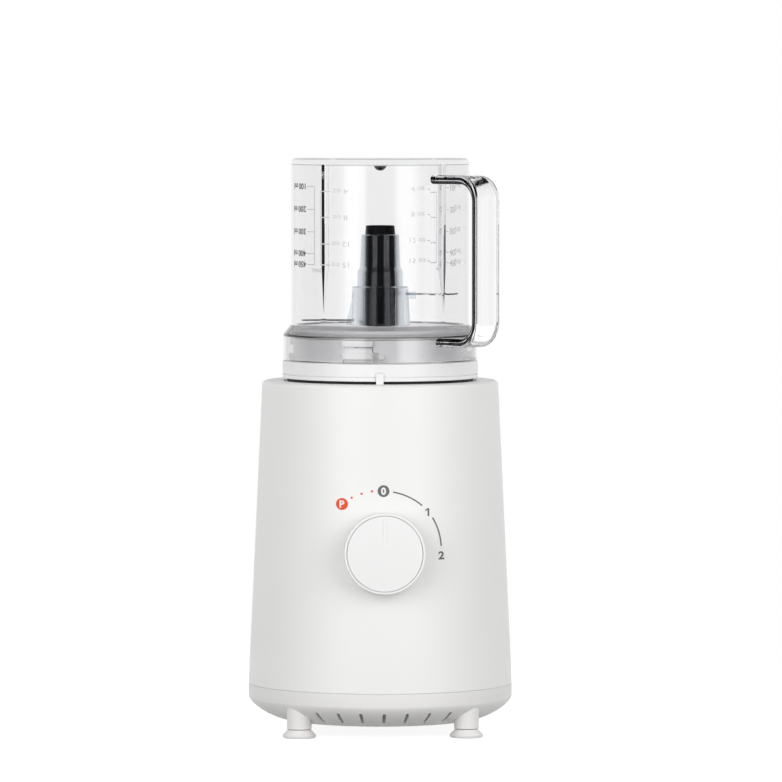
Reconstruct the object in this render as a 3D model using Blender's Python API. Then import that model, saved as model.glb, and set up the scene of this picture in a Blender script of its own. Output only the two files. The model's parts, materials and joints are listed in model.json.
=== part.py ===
"""Baby food maker: motor base, lift-out blade unit and clear twist-on jar.

Metres, +Z up, the front with the knob towards -Y, the feet standing on z = 0.
The motor axis is vertical and stands at (0, AXIS_Y), so that the footprint is centred on the origin.
"""

import math

import bmesh
import bpy
from mathutils import Matrix, Vector

# Clearances
GAP = 0.0003
RUN_GAP = 0.0004

# Feet, legs and bottom cover
FOOT_H = 0.0047
FOOT_TOP_R = 0.0070
FOOT_RIM_R = 0.0097
FOOT_HOLLOW = 0.0022
FOOT_STEM_R = 0.0039
FOOT_STEM_H = 0.0045
FOOT_WAIST_SHARE = 0.7
FOOT_LIP_SHARE = 0.1
FOOT_RING_SHARE = 0.85
FOOT_HOLLOW_SHARE = 0.6
LEG_R = 0.0072
LEG_INSET = 0.0086
LEG_ANGLES = (50.0, 130.0, 225.0, 315.0)
COVER_CLEAR = 0.0068
COVER_H = 0.0206
BULGE_H = 0.0131
BULGE_W = 0.0216
BULGE_POWER = 1.46
BULGE_STEPS = 6
VENT_COUNT = 7
VENT_PITCH = 10.5
VENT_W = 0.0018
VENT_INSET = 0.0028
VENT_LENGTH = 0.0112

# Housing
HOUSING_H = 0.1753
BASE_R = 0.0766
BASE_TOP_R = 0.0685
SHELL_WALL = 0.0025
DECK_EDGE = 0.0028
DECK_T = 0.0025
WELL_DEPTH = 0.0285
WELL_WALL = 0.0020
WELL_FLOOR_T = 0.0025
BOSS_R = 0.0065
BOSS_H = 0.0320

# Cover screws
SCREW_R = 0.0017
SCREW_HEAD_R = 0.0036
SCREW_HEAD_H = 0.0022
SCREW_LENGTH = 0.0310
SCREW_SEAT_H = 0.0087

# Knob and switch
KNOB_Z = 0.1078
KNOB_H = 0.0137
KNOB_BACK_R = 0.0232
KNOB_FACE_R = 0.0226
KNOB_EDGE = 0.0020
KNOB_STANDOFF = 0.0012
KNOB_SKIN = 0.0030
POINTER_W = 0.0013
POINTER_L = 0.0155
POINTER_H = 0.0005
SPINDLE_R = 0.0029
SWITCH_SIDE = 0.0280
SWITCH_DEPTH = 0.0150
SWITCH_BUSH_R = 0.0050
SWITCH_BORE_SHARE = 0.7
NUT_R = 0.0072
NUT_H = 0.0022
NUT_SIDES = 6

# Mains lead inlet
GLAND_Z = 0.0620
GLAND_NECK_R = 0.0052
GLAND_FLANGE_R = 0.0070
GLAND_FLANGE_T = 0.0010
GLAND_BORE_R = 0.0036

# Jar
JAR_R = 0.0519
JAR_H = 0.1172
JAR_WALL = 0.0024
JAR_EDGE = 0.0040
SKIRT_STEP = 0.0044
SKIRT_H = 0.0152
SHOULDER_H = 0.0055
GATE_R = 0.0035
GATE_H = 0.0035
GATE_TIP_SHARE = 0.8
GATE_SIDE_SHARE = 0.7
RIB_ANGLES = (227.8, 317.8)
RIB_DEPTH = 0.0026
RIB_W = 0.0024
RIB_END_H = 0.0286
RIB_TAPER_H = 0.0264
LEDGE_H = 0.0020

# Jar handle
HANDLE_ANGLE = -45.0
HANDLE_STANDOFF = 0.0361
HANDLE_W = 0.0200
HANDLE_T = 0.0051
HANDLE_TOP_DROP = 0.0120
HANDLE_FOOT_RISE = 0.0117
HANDLE_CORNER = 0.0150

# Blade unit
UNIT_TURN = -2.0
COLLAR_GAP = 0.0020
COLLAR_H = 0.0100
COLLAR_STEP = 0.0004
COLLAR_WALL = 0.0023
COLLAR_EDGE = 0.0008
LIP_H = 0.0032
LIP_GROOVE = 0.0005
LUG_DEPTH = 0.0029
LUG_H = 0.0108
LUG_HALF_ANGLE = 13.0
LUG_ANGLES = (-100.0, -10.0, 80.0, 170.0)
SEAT_H = 0.0135
SEAT_DEPTH = 0.0020
FLOOR_H = 0.0180
FLOOR_T = 0.0025
SPIGOT_STEP = 0.0009
SPIGOT_WALL = 0.0020
SPIGOT_DEPTH = 0.0190
HUB_WALL = 0.0020
HUB_RISE = 0.0016
HUB_DROP = 0.0010
TAB_W = 0.0048
TAB_OUT = 0.0007
TAB_GAP = 0.0004
GASKET_H = 0.0022
GASKET_W = 0.0029
RING_SLEEVE_T = 0.0012
RING_SLEEVE_H = 0.0070
RING_FLANGE_H = 0.0027
SEAL_H = 0.0018
SEAL_W = 0.0020

# Blades
BLADE_SHAFT_R = 0.0030
BUSH_WALL = 0.0017
CORE_R = 0.0090
CORE_NOSE_R = 0.0083
CORE_H = 0.0581
CORE_STEP_H = 0.0340
SHAFT_IN_CORE = 0.0150
CARRIER_WALL = 0.0021
CARRIER_H = 0.0529
CARRIER_STEP_H = 0.0315
CARRIER_STEP_W = 0.0015
CARRIER_FOOT_H = 0.0225
CARRIER_FOOT_W = 0.0049
CARRIER_FLARE = 0.0011
ARM_REACH = 0.0205
ARM_W = 0.0090
ARM_H = 0.0056
UPPER_BLADE_H = 0.0181
LOWER_BLADE_H = 0.0029
BLADE_T = 0.0008
BLADE_ROOT_W = 0.0064
BLADE_BELLY_W = 0.0110
BLADE_TIP_CLEAR = 0.0014
BLADE_STEPS = 6

# Motor
MOTOR_SHAFT_R = 0.0040
SHAFT_CLEAR = 0.0015
MOUNT_OFFSET = 0.0050
MOUNT_ANGLES = (37.5, 127.5, 217.5, 307.5)
POST_R = 0.0055
POST_H = 0.0140
MOUNT_BUSH_R = 0.0060
MOUNT_BUSH_H = 0.0034
MOTOR_SCREW_R = 0.0018
MOTOR_SCREW_HEAD_R = 0.0040
MOTOR_SCREW_HEAD_H = 0.0026
MOTOR_SCREW_LENGTH = 0.0170
BRACKET_RIM = 0.0060
BRACKET_T = 0.0030
BRACKET_LIP_T = 0.0012
BEARING_R = 0.0090
BEARING_H = 0.0060
BEARING_BOSS_WALL = 0.0027
UPPER_SKIRT_H = 0.0160
LOWER_SKIRT_H = 0.0190
STATOR_R = 0.0330
STATOR_YOKE = 0.0050
POLE_R = 0.0190
POLE_HALF_ANGLE = 35.0
POLE_STEPS = 8
STACK_H = 0.0345
AIR_GAP = 0.0008
ARMATURE_SLOTS = 12
ARMATURE_SLOT_DEPTH = 0.0030
ARMATURE_TOOTH_SHARE = 0.6
ARMATURE_SLOT_SHARE = 0.2
COIL_STEP = 0.0015
COIL_CLEAR = 0.0005
COIL_HALF_ANGLE = 60.0
COIL_OVERHANG = 0.0065
COIL_STEPS = 10
WINDOW_STEPS = 6
COMMUTATOR_R = 0.0100
COMMUTATOR_H = 0.0110
BRUSH_W = 0.0036
BRUSH_H = 0.0060
BRUSH_LENGTH = 0.0130
BRUSH_HOLDER_WALL = 0.0014
BRUSH_HOLDER_LENGTH = 0.0150
TIE_BOLT_R = 0.0015
TIE_BOLT_ANGLES = (52.0, 232.0)
TIE_BOLT_HEAD_R = 0.0028
TIE_BOLT_HEAD_H = 0.0022
FAN_R = 0.0300
FAN_HUB_R = 0.0080
FAN_H = 0.0100
FAN_BLADES = 10
FAN_BLADE_SHARE = 0.25
FAN_ROOT_SHARE = 0.1
FAN_DROP = 0.0040
COUPLER_R = 0.0130
COUPLER_BORE_STEP = 0.0015
COUPLER_DISC_H = 0.0066
COUPLER_LIFT = 0.0025
DOG_H = 0.0079
DOG_COUNT = 3
DOG_HALF_ANGLE = 25.0
DRIVEN_DISC_H = 0.0052
DRIVEN_BOSS_WALL = 0.0032

# Interlock
PLUNGER_ANGLE = 60.0
PLUNGER_R = 0.0022
INTERLOCK_LENGTH = 0.0200
INTERLOCK_WIDTH = 0.0064
INTERLOCK_H = 0.0102

# Facets
WIDE = 32
MIDDLE = 20
SMALL = 12
SECTOR_STEPS = 4
CORNER_STEPS = 5
EDGE_STEPS = 3
SMOOTH_ANGLE = 35.0

# Heights that follow from the sizes above, from the table up
LEG_FOOT_Z = FOOT_H + GAP
SCREW_SEAT_Z = LEG_FOOT_Z + SCREW_SEAT_H
SEAM_Z = COVER_CLEAR + COVER_H
HOUSING_Z = SEAM_Z + GAP
DECK_Z = HOUSING_Z + HOUSING_H
WELL_FLOOR_Z = DECK_Z - WELL_DEPTH
WELL_UNDER_Z = WELL_FLOOR_Z - WELL_FLOOR_T
COLLAR_Z = DECK_Z + COLLAR_GAP
COLLAR_TOP_Z = COLLAR_Z + COLLAR_H
SPIGOT_Z = COLLAR_Z - SPIGOT_DEPTH
SEAT_Z = COLLAR_TOP_Z + SEAT_H
FLOOR_Z = COLLAR_TOP_Z + FLOOR_H
HUB_TOP_Z = FLOOR_Z + HUB_RISE
HUB_Z = COLLAR_Z - HUB_DROP
JAR_Z = COLLAR_TOP_Z + GAP
JAR_TOP_Z = JAR_Z + JAR_H
SKIRT_TOP_Z = JAR_Z + SKIRT_H
CORE_Z = HUB_TOP_Z + 2 * GAP
CARRIER_Z = CORE_Z + GAP
POST_Z = WELL_UNDER_Z - POST_H
UPPER_PLATE_Z = POST_Z - MOUNT_BUSH_H - 2 * GAP - BRACKET_T
STACK_TOP_Z = UPPER_PLATE_Z - UPPER_SKIRT_H - GAP
STACK_Z = STACK_TOP_Z - STACK_H
LOWER_PLATE_TOP_Z = STACK_Z - GAP - LOWER_SKIRT_H
LOWER_PLATE_Z = LOWER_PLATE_TOP_Z - BRACKET_T
BEARING_BOSS_H = BEARING_H + GAP + BRACKET_LIP_T
LOWER_BOSS_Z = LOWER_PLATE_Z + BRACKET_LIP_T - BEARING_BOSS_H
FAN_TOP_Z = LOWER_BOSS_Z - FAN_DROP
COUPLER_Z = WELL_FLOOR_Z + COUPLER_LIFT
DOG_Z = COUPLER_Z + COUPLER_DISC_H
DRIVEN_DISC_Z = DOG_Z + DOG_H + GAP

# Radii that follow from the sizes above
LEG_PITCH_R = BASE_R - LEG_INSET
TAPER = (BASE_R - BASE_TOP_R) / HOUSING_H
TAPER_ANGLE = math.atan(TAPER)
JAR_INNER_R = JAR_R - JAR_WALL
SKIRT_R = JAR_R + SKIRT_STEP
SKIRT_INNER_R = SKIRT_R - JAR_WALL
LUG_R = SKIRT_INNER_R - RUN_GAP
DRUM_R = LUG_R - LUG_DEPTH
COLLAR_R = SKIRT_R + COLLAR_STEP
SPIGOT_R = DRUM_R - SPIGOT_STEP
SPIGOT_INNER_R = SPIGOT_R - SPIGOT_WALL
RING_R = SPIGOT_R + GAP
WELL_R = RING_R + RING_SLEEVE_T + GAP
RING_FLANGE_R = COLLAR_R - COLLAR_WALL - GAP
BUSH_R = BLADE_SHAFT_R + GAP + BUSH_WALL
HUB_BORE_R = BUSH_R + GAP
SEAL_BORE_R = HUB_BORE_R + SEAL_W
HUB_R = SEAL_BORE_R + HUB_WALL
CARRIER_BORE_R = CORE_R + GAP
CARRIER_R = CARRIER_BORE_R + CARRIER_WALL
BLADE_TIP_R = JAR_INNER_R - RIB_DEPTH - BLADE_TIP_CLEAR
SHAFT_BORE_R = MOTOR_SHAFT_R + GAP
SHAFT_HOLE_R = MOTOR_SHAFT_R + SHAFT_CLEAR
BEARING_SEAT_R = BEARING_R + GAP
YOKE_R = STATOR_R - STATOR_YOKE
MOUNT_PITCH_R = STATOR_R + MOUNT_OFFSET
BRACKET_R = MOUNT_PITCH_R + BRACKET_RIM
COIL_INNER_R = POLE_R + COIL_STEP
COIL_OUTER_R = YOKE_R - COIL_CLEAR
COUPLER_BORE_R = MOTOR_SHAFT_R + COUPLER_BORE_STEP
SWITCH_BORE_R = SPINDLE_R + GAP
SWITCH_HOLE_R = SWITCH_BUSH_R + GAP


def wall_radius(z):
    """Outer radius of the tapered housing at height z."""
    return BASE_R - TAPER * (z - HOUSING_Z)


KNOB_REACH = wall_radius(KNOB_Z) + KNOB_H * math.cos(TAPER_ANGLE)
KNOB_REACH += (KNOB_FACE_R - KNOB_EDGE) * math.sin(TAPER_ANGLE)
AXIS_Y = (KNOB_REACH - BASE_R) / 2

# Colour, roughness, metallic and transmission of each finish
FINISHES = {
    "white_plastic": ((0.86, 0.86, 0.85), 0.38, 0.0, 0.0),
    "soft_rubber": ((0.83, 0.79, 0.77), 0.55, 0.0, 0.0),
    "black_rubber": ((0.02, 0.02, 0.02), 0.6, 0.0, 0.0),
    "black_plastic": ((0.015, 0.015, 0.017), 0.15, 0.0, 0.0),
    "frosted_plastic": ((0.85, 0.89, 0.92), 0.35, 0.0, 0.6),
    "clear_plastic": ((0.97, 0.97, 0.98), 0.03, 0.0, 1.0),
    "silicone": ((0.88, 0.88, 0.86), 0.5, 0.0, 0.3),
    "steel": ((0.65, 0.65, 0.67), 0.25, 1.0, 0.0),
    "lamination": ((0.35, 0.36, 0.38), 0.5, 1.0, 0.0),
    "copper": ((0.72, 0.38, 0.2), 0.35, 1.0, 0.0),
    "carbon": ((0.05, 0.05, 0.05), 0.7, 0.0, 0.0),
    "brass": ((0.7, 0.55, 0.28), 0.35, 1.0, 0.0),
    "grey_plastic": ((0.3, 0.3, 0.32), 0.45, 0.0, 0.0),
}


def clear_scene():
    for old in list(bpy.data.objects):
        bpy.data.objects.remove(old, do_unlink=True)


def material(node, finish):
    """A material of its own for one sub-part."""
    colour, roughness, metallic, transmission = FINISHES[finish]
    made = bpy.data.materials.new(node)
    made.use_nodes = True
    shader = made.node_tree.nodes["Principled BSDF"]
    shader.inputs["Base Color"].default_value = (*colour, 1.0)
    shader.inputs["Roughness"].default_value = roughness
    shader.inputs["Metallic"].default_value = metallic
    shader.inputs["Transmission Weight"].default_value = transmission
    return made


def empty(name, parent=None, place=(0, 0, 0), turn=(0, 0, 0)):
    made = bpy.data.objects.new(name, None)
    made.location = place
    made.rotation_euler = turn
    made.parent = parent
    bpy.context.scene.collection.objects.link(made)
    return made


def mesh_from(bm, name):
    """A closed mesh with its faces pointing out, smooth where it is round."""
    bmesh.ops.remove_doubles(bm, verts=bm.verts, dist=1e-7)
    bmesh.ops.recalc_face_normals(bm, faces=bm.faces)
    mesh = bpy.data.meshes.new(name)
    bm.to_mesh(mesh)
    bm.free()
    mesh.shade_smooth()
    mesh.set_sharp_from_angle(angle=math.radians(SMOOTH_ANGLE))
    return mesh


def place(name, mesh, parent, finish=None, at=(0, 0, 0), turn=0.0):
    """An object at a place under its parent, turned about Z; without a finish it is only a cutter."""
    made = bpy.data.objects.new(name, mesh)
    made.location = at
    made.rotation_euler = (0, 0, math.radians(turn))
    made.parent = parent
    bpy.context.scene.collection.objects.link(made)
    if finish is None:
        made.hide_render = True
        made.display_type = "WIRE"
    elif not mesh.materials:
        mesh.materials.append(material(name, finish))
    return made


def boolean(target, tool, operation):
    modifier = target.modifiers.new(tool.name, "BOOLEAN")
    modifier.object = tool
    modifier.operation = operation
    modifier.solver = "EXACT"


def polar(radius, degrees, z=0.0):
    angle = math.radians(degrees)
    return Vector((radius * math.cos(angle), radius * math.sin(angle), z))


def turned_mesh(name, profile, steps):
    """Turns a closed outline of (radius, z) points about the Z axis."""
    bm = bmesh.new()
    verts = [bm.verts.new((r, 0, z)) for r, z in profile]
    edges = [bm.edges.new((verts[i - 1], verts[i])) for i in range(len(verts))]
    on_axis = [e for e in edges if all(v.co.x == 0.0 for v in e.verts)]
    turning = [e for e in edges if e not in on_axis]
    for edge in on_axis:
        bm.edges.remove(edge)
    bmesh.ops.spin(
        bm,
        geom=verts + turning,
        cent=(0, 0, 0),
        axis=(0, 0, 1),
        angle=2 * math.pi,
        steps=steps,
        use_merge=True,
    )
    return mesh_from(bm, name)


def ring_profile(inner, outer, low, high):
    return [(inner, high), (outer, high), (outer, low), (inner, low)]


def rod_profile(radius, low, high):
    return ring_profile(0.0, radius, low, high)


def add_prism(bm, outline, low, high):
    """Raises a closed outline of (x, y) points from low to high."""
    base = [bm.verts.new((x, y, low)) for x, y in outline]
    face = bm.faces.new(base)
    grown = bmesh.ops.extrude_face_region(bm, geom=[face])
    top = [item for item in grown["geom"] if isinstance(item, bmesh.types.BMVert)]
    bmesh.ops.translate(bm, verts=top, vec=(0, 0, high - low))


def pegs(name, places, radius, low, high, steps, parent):
    """A cutter of separate upright round pegs."""
    bm = bmesh.new()
    for spot in places:
        around = [spot + polar(radius, 360.0 * i / steps) for i in range(steps)]
        add_prism(bm, [(v.x, v.y) for v in around], low, high)
    return place(name, mesh_from(bm, name), parent)


def add_box(bm, low, high, turn=0.0):
    """A box from its low to its high corner, turned about Z."""
    outline = [(low[0], low[1]), (high[0], low[1]), (high[0], high[1]), (low[0], high[1])]
    spin = Matrix.Rotation(math.radians(turn), 3, "Z")
    turned = [spin @ Vector((x, y, 0)) for x, y in outline]
    add_prism(bm, [(v.x, v.y) for v in turned], low[2], high[2])


def box_mesh(name, low, high, turn=0.0):
    bm = bmesh.new()
    add_box(bm, low, high, turn)
    return mesh_from(bm, name)


def add_sector(bm, inner, outer, low, high, start, end, steps):
    """A block of a ring between two angles in degrees."""
    spread = [start + (end - start) * i / steps for i in range(steps + 1)]
    outline = [polar(outer, a) for a in spread] + [polar(inner, a) for a in reversed(spread)]
    add_prism(bm, [(v.x, v.y) for v in outline], low, high)


def sector_mesh(name, inner, outer, low, high, middles, half_angle, steps=SECTOR_STEPS):
    bm = bmesh.new()
    for middle in middles:
        add_sector(bm, inner, outer, low, high, middle - half_angle, middle + half_angle, steps)
    return mesh_from(bm, name)


def add_ring_prism(bm, outer, inner, low, high):
    """A flat-ended ring whose outer and inner outlines have matching (x, y) points."""
    rows = [
        [bm.verts.new((x, y, z)) for x, y in outline]
        for outline, z in ((outer, low), (outer, high), (inner, high), (inner, low))
    ]
    count = len(outer)
    for row, following in zip(rows, rows[1:] + rows[:1]):
        for i in range(count):
            j = (i + 1) % count
            bm.faces.new((row[i], row[j], following[j], following[i]))


def ring_prism_mesh(name, stations, low, high):
    """A ring from (degrees, outer radius, inner radius) stations."""
    outer = [polar(out, a).to_2d() for a, out, _ in stations]
    inner = [polar(into, a).to_2d() for a, _, into in stations]
    bm = bmesh.new()
    add_ring_prism(bm, outer, inner, low, high)
    return mesh_from(bm, name)


def rounded_edge(radius, top, edge):
    """A quarter round from a flat top down to a side: (radius, z) points."""
    points = []
    for i in range(EDGE_STEPS + 1):
        t = math.pi / 2 * i / EDGE_STEPS
        points.append((radius - edge * (1 - math.sin(t)), top - edge * (1 - math.cos(t))))
    return points


def bulge_curve(reach, height):
    """The rounded lower edge of the bottom cover, from its side down to its underside."""
    flat_r = BASE_R - BULGE_W
    top_z = COVER_CLEAR + BULGE_H
    points = []
    for i in range(BULGE_STEPS + 1):
        t = math.pi / 2 * i / BULGE_STEPS
        across = max(math.cos(t), 0.0) ** (2 / BULGE_POWER)
        down = math.sin(t) ** (2 / BULGE_POWER)
        points.append((flat_r + reach * across, top_z - height * down))
    return points


def leg_places():
    return [polar(LEG_PITCH_R, a) for a in LEG_ANGLES]


def make_bottom_cover(axis):
    outer = bulge_curve(BULGE_W, BULGE_H)
    inner = bulge_curve(BULGE_W - SHELL_WALL, BULGE_H - SHELL_WALL)
    profile = [(BASE_R, SEAM_Z)] + outer + [(0.0, COVER_CLEAR)]
    profile += [(0.0, COVER_CLEAR + SHELL_WALL)] + inner[::-1]
    profile.append((BASE_R - SHELL_WALL, SEAM_Z))
    cover = place("bottom_cover", turned_mesh("bottom_cover", profile, WIDE), axis, "white_plastic")
    legs = pegs("leg_columns", leg_places(), LEG_R, LEG_FOOT_Z, SEAM_Z - GAP, SMALL, axis)
    boolean(cover, legs, "UNION")
    sockets = pegs(
        "foot_sockets", leg_places(), FOOT_STEM_R + GAP, COVER_CLEAR - BULGE_H, SCREW_SEAT_Z, SMALL, axis
    )
    boolean(cover, sockets, "DIFFERENCE")
    holes = pegs("cover_screw_holes", leg_places(), SCREW_R + GAP, 0.0, DECK_Z, SMALL, axis)
    boolean(cover, holes, "DIFFERENCE")
    boolean(cover, make_vent_cutter(axis), "DIFFERENCE")


def make_vent_cutter(axis):
    bm = bmesh.new()
    outer = BASE_R - VENT_INSET
    for front in (-90.0, 90.0):
        for i in range(VENT_COUNT):
            turn = front + VENT_PITCH * (i - (VENT_COUNT - 1) / 2)
            low = (outer - VENT_LENGTH, -VENT_W / 2, 0.0)
            high = (outer, VENT_W / 2, COVER_CLEAR + BULGE_H)
            add_box(bm, low, high, turn)
    return place("vent_slots", mesh_from(bm, "vent_slots"), axis)


def make_feet(axis):
    profile = [
        (0.0, FOOT_H + FOOT_STEM_H),
        (FOOT_STEM_R, FOOT_H + FOOT_STEM_H),
        (FOOT_STEM_R, FOOT_H),
        (FOOT_TOP_R, FOOT_H),
        (FOOT_TOP_R, FOOT_H * FOOT_WAIST_SHARE),
        (FOOT_RIM_R, FOOT_H * FOOT_LIP_SHARE),
        (FOOT_RIM_R, 0.0),
        (FOOT_RIM_R * FOOT_RING_SHARE, 0.0),
        (FOOT_TOP_R * FOOT_HOLLOW_SHARE, FOOT_HOLLOW),
        (0.0, FOOT_HOLLOW),
    ]
    names = ("foot_rear_right", "foot_rear_left", "foot_front_left", "foot_front_right")
    for name, spot in zip(names, leg_places()):
        place(name, turned_mesh(name, profile, SMALL), axis, "soft_rubber", spot)


def make_cover_screws(axis):
    head_z = SCREW_SEAT_Z - GAP - SCREW_HEAD_H
    top_z = head_z + SCREW_HEAD_H + SCREW_LENGTH
    profile = [
        (0.0, top_z),
        (SCREW_R, top_z),
        (SCREW_R, head_z + SCREW_HEAD_H),
        (SCREW_HEAD_R, head_z + SCREW_HEAD_H),
        (SCREW_HEAD_R, head_z),
        (0.0, head_z),
    ]
    for number, spot in enumerate(leg_places(), 1):
        name = f"cover_screw_{number}"
        place(name, turned_mesh(name, profile, SMALL), axis, "steel", spot)


def mount_places():
    return [polar(MOUNT_PITCH_R, a) for a in MOUNT_ANGLES]


def plunger_place():
    return polar(SPIGOT_R - SPIGOT_WALL / 2, PLUNGER_ANGLE)


def make_housing(axis, dial, inlet):
    top_in = wall_radius(DECK_Z - DECK_T) - SHELL_WALL
    under = DECK_Z - DECK_T
    profile = [(WELL_R, DECK_Z)] + rounded_edge(BASE_TOP_R, DECK_Z, DECK_EDGE) + [
        (BASE_R, HOUSING_Z),
        (BASE_R - SHELL_WALL, HOUSING_Z),
        (top_in, under),
        (WELL_R + WELL_WALL, under),
        (WELL_R + WELL_WALL, WELL_UNDER_Z),
        (SHAFT_HOLE_R, WELL_UNDER_Z),
        (SHAFT_HOLE_R, WELL_FLOOR_Z),
        (WELL_R, WELL_FLOOR_Z),
    ]
    housing = place("housing", turned_mesh("housing", profile, WIDE), axis, "white_plastic")
    hole_low = WELL_UNDER_Z - WELL_FLOOR_T
    hole = pegs("plunger_hole", [plunger_place()], PLUNGER_R + GAP, hole_low, SPIGOT_Z, SMALL, axis)
    boolean(housing, hole, "DIFFERENCE")
    boss_low = HOUSING_Z + GAP
    bosses = pegs("cover_bosses", leg_places(), BOSS_R, boss_low, boss_low + BOSS_H, SMALL, axis)
    boolean(housing, bosses, "UNION")
    bore_top = boss_low + BOSS_H - SHELL_WALL
    bores = pegs("boss_bores", leg_places(), SCREW_R + GAP, 0.0, bore_top, SMALL, axis)
    boolean(housing, bores, "DIFFERENCE")
    post_top = WELL_FLOOR_Z - WELL_FLOOR_T / 2
    posts = pegs("motor_posts", mount_places(), POST_R, POST_Z, post_top, SMALL, axis)
    boolean(housing, posts, "UNION")
    pilot_r = MOTOR_SCREW_R + GAP
    pilots = pegs("post_bores", mount_places(), pilot_r, LOWER_PLATE_Z, WELL_UNDER_Z - GAP, SMALL, axis)
    boolean(housing, pilots, "DIFFERENCE")
    reach = 4 * SHELL_WALL
    switch_hole = place(
        "switch_hole", turned_mesh("switch_hole", rod_profile(SWITCH_HOLE_R, -reach, reach), SMALL), dial
    )
    boolean(housing, switch_hole, "DIFFERENCE")
    gland_r = GLAND_NECK_R + GAP
    gland_hole = place(
        "gland_hole", turned_mesh("gland_hole", rod_profile(gland_r, -reach, reach), SMALL), inlet
    )
    boolean(housing, gland_hole, "DIFFERENCE")


def make_socket_ring(axis):
    profile = [
        (RING_R, DECK_Z + GAP + RING_FLANGE_H),
        (RING_FLANGE_R, DECK_Z + GAP + RING_FLANGE_H),
        (RING_FLANGE_R, DECK_Z + GAP),
        (RING_R + RING_SLEEVE_T, DECK_Z + GAP),
        (RING_R + RING_SLEEVE_T, DECK_Z - RING_SLEEVE_H),
        (RING_R, DECK_Z - RING_SLEEVE_H),
    ]
    place("socket_ring", turned_mesh("socket_ring", profile, WIDE), axis, "black_rubber")


def make_knob(dial):
    """The knob in the dial's own frame, with +Z out of the front wall."""
    boss_r = SPINDLE_R + GAP + KNOB_SKIN
    hollow = KNOB_H - KNOB_SKIN
    boss_foot = GAP + NUT_H + KNOB_STANDOFF
    profile = [
        (0.0, KNOB_H),
        (KNOB_FACE_R - KNOB_EDGE, KNOB_H),
        (KNOB_FACE_R, KNOB_H - KNOB_EDGE),
        (KNOB_BACK_R, KNOB_STANDOFF),
        (KNOB_BACK_R - KNOB_SKIN, KNOB_STANDOFF),
        (KNOB_FACE_R - KNOB_SKIN, hollow),
        (boss_r, hollow),
        (boss_r, boss_foot),
        (SPINDLE_R + GAP, boss_foot),
        (SPINDLE_R + GAP, hollow),
        (0.0, hollow),
    ]
    knob = place("knob", turned_mesh("knob", profile, MIDDLE), dial, "white_plastic")
    top = KNOB_FACE_R - 2 * KNOB_EDGE
    low = (-POINTER_W / 2, top - POINTER_L, KNOB_H - POINTER_H)
    high = (POINTER_W / 2, top, KNOB_H + POINTER_H)
    boolean(knob, place("pointer_ridge", box_mesh("pointer_ridge", low, high), dial), "UNION")


def make_switch(dial):
    """Rotary switch behind the wall, its spindle and the nut that clamps its bush."""
    half = SWITCH_SIDE / 2
    wall_r = wall_radius(KNOB_Z) - SHELL_WALL
    front = -SHELL_WALL - (wall_r - math.sqrt(wall_r**2 - half**2)) - GAP
    bush_top = GAP + NUT_H + KNOB_STANDOFF / 2
    back = front - SWITCH_DEPTH
    body = box_mesh("rotary_switch", (-half, -half, back), (half, half, front))
    switch = place("rotary_switch", body, dial, "grey_plastic")
    bush = turned_mesh("switch_bush", rod_profile(SWITCH_BUSH_R, back / 2, bush_top), SMALL)
    boolean(switch, place("switch_bush", bush, dial), "UNION")
    bore_end = front - SWITCH_DEPTH * SWITCH_BORE_SHARE
    bore = turned_mesh("switch_bore", rod_profile(SWITCH_BORE_R, bore_end, KNOB_H), SMALL)
    boolean(switch, place("switch_bore", bore, dial), "DIFFERENCE")
    spindle = rod_profile(SPINDLE_R, bore_end + GAP, KNOB_H - KNOB_SKIN - GAP)
    place("switch_spindle", turned_mesh("switch_spindle", spindle, SMALL), dial, "brass")
    stations = []
    for i in range(2 * NUT_SIDES):
        corner = NUT_R if i % 2 == 0 else NUT_R * math.cos(math.pi / NUT_SIDES)
        stations.append((180.0 * i / NUT_SIDES, corner, SWITCH_HOLE_R))
    nut = ring_prism_mesh("switch_nut", stations, GAP, GAP + NUT_H)
    place("switch_nut", nut, dial, "steel")


def make_cord_gland(inlet):
    """Inlet bush in the back wall, in its own frame with +Z out of the wall."""
    inner_face = -SHELL_WALL - GLAND_FLANGE_R * math.tan(math.pi / WIDE) - GAP
    profile = [
        (GLAND_BORE_R, GAP + GLAND_FLANGE_T),
        (GLAND_FLANGE_R, GAP + GLAND_FLANGE_T),
        (GLAND_FLANGE_R, GAP),
        (GLAND_NECK_R, GAP),
        (GLAND_NECK_R, inner_face),
        (GLAND_FLANGE_R, inner_face),
        (GLAND_FLANGE_R, inner_face - GLAND_FLANGE_T),
        (GLAND_BORE_R, inner_face - GLAND_FLANGE_T),
    ]
    place("cord_gland", turned_mesh("cord_gland", profile, SMALL), inlet, "grey_plastic")


def make_interlock(axis):
    spot = plunger_place()
    top = SPIGOT_Z - GAP
    switch_top = WELL_UNDER_Z - GAP
    plunger = turned_mesh("interlock_plunger", rod_profile(PLUNGER_R, switch_top + GAP, top), SMALL)
    place("interlock_plunger", plunger, axis, "black_plastic", spot)
    half_l = INTERLOCK_LENGTH / 2
    half_w = INTERLOCK_WIDTH / 2
    low = (-half_w, -half_l, switch_top - INTERLOCK_H)
    body = box_mesh("interlock_switch", low, (half_w, half_l, switch_top))
    place("interlock_switch", body, axis, "grey_plastic", spot, PLUNGER_ANGLE)


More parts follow.
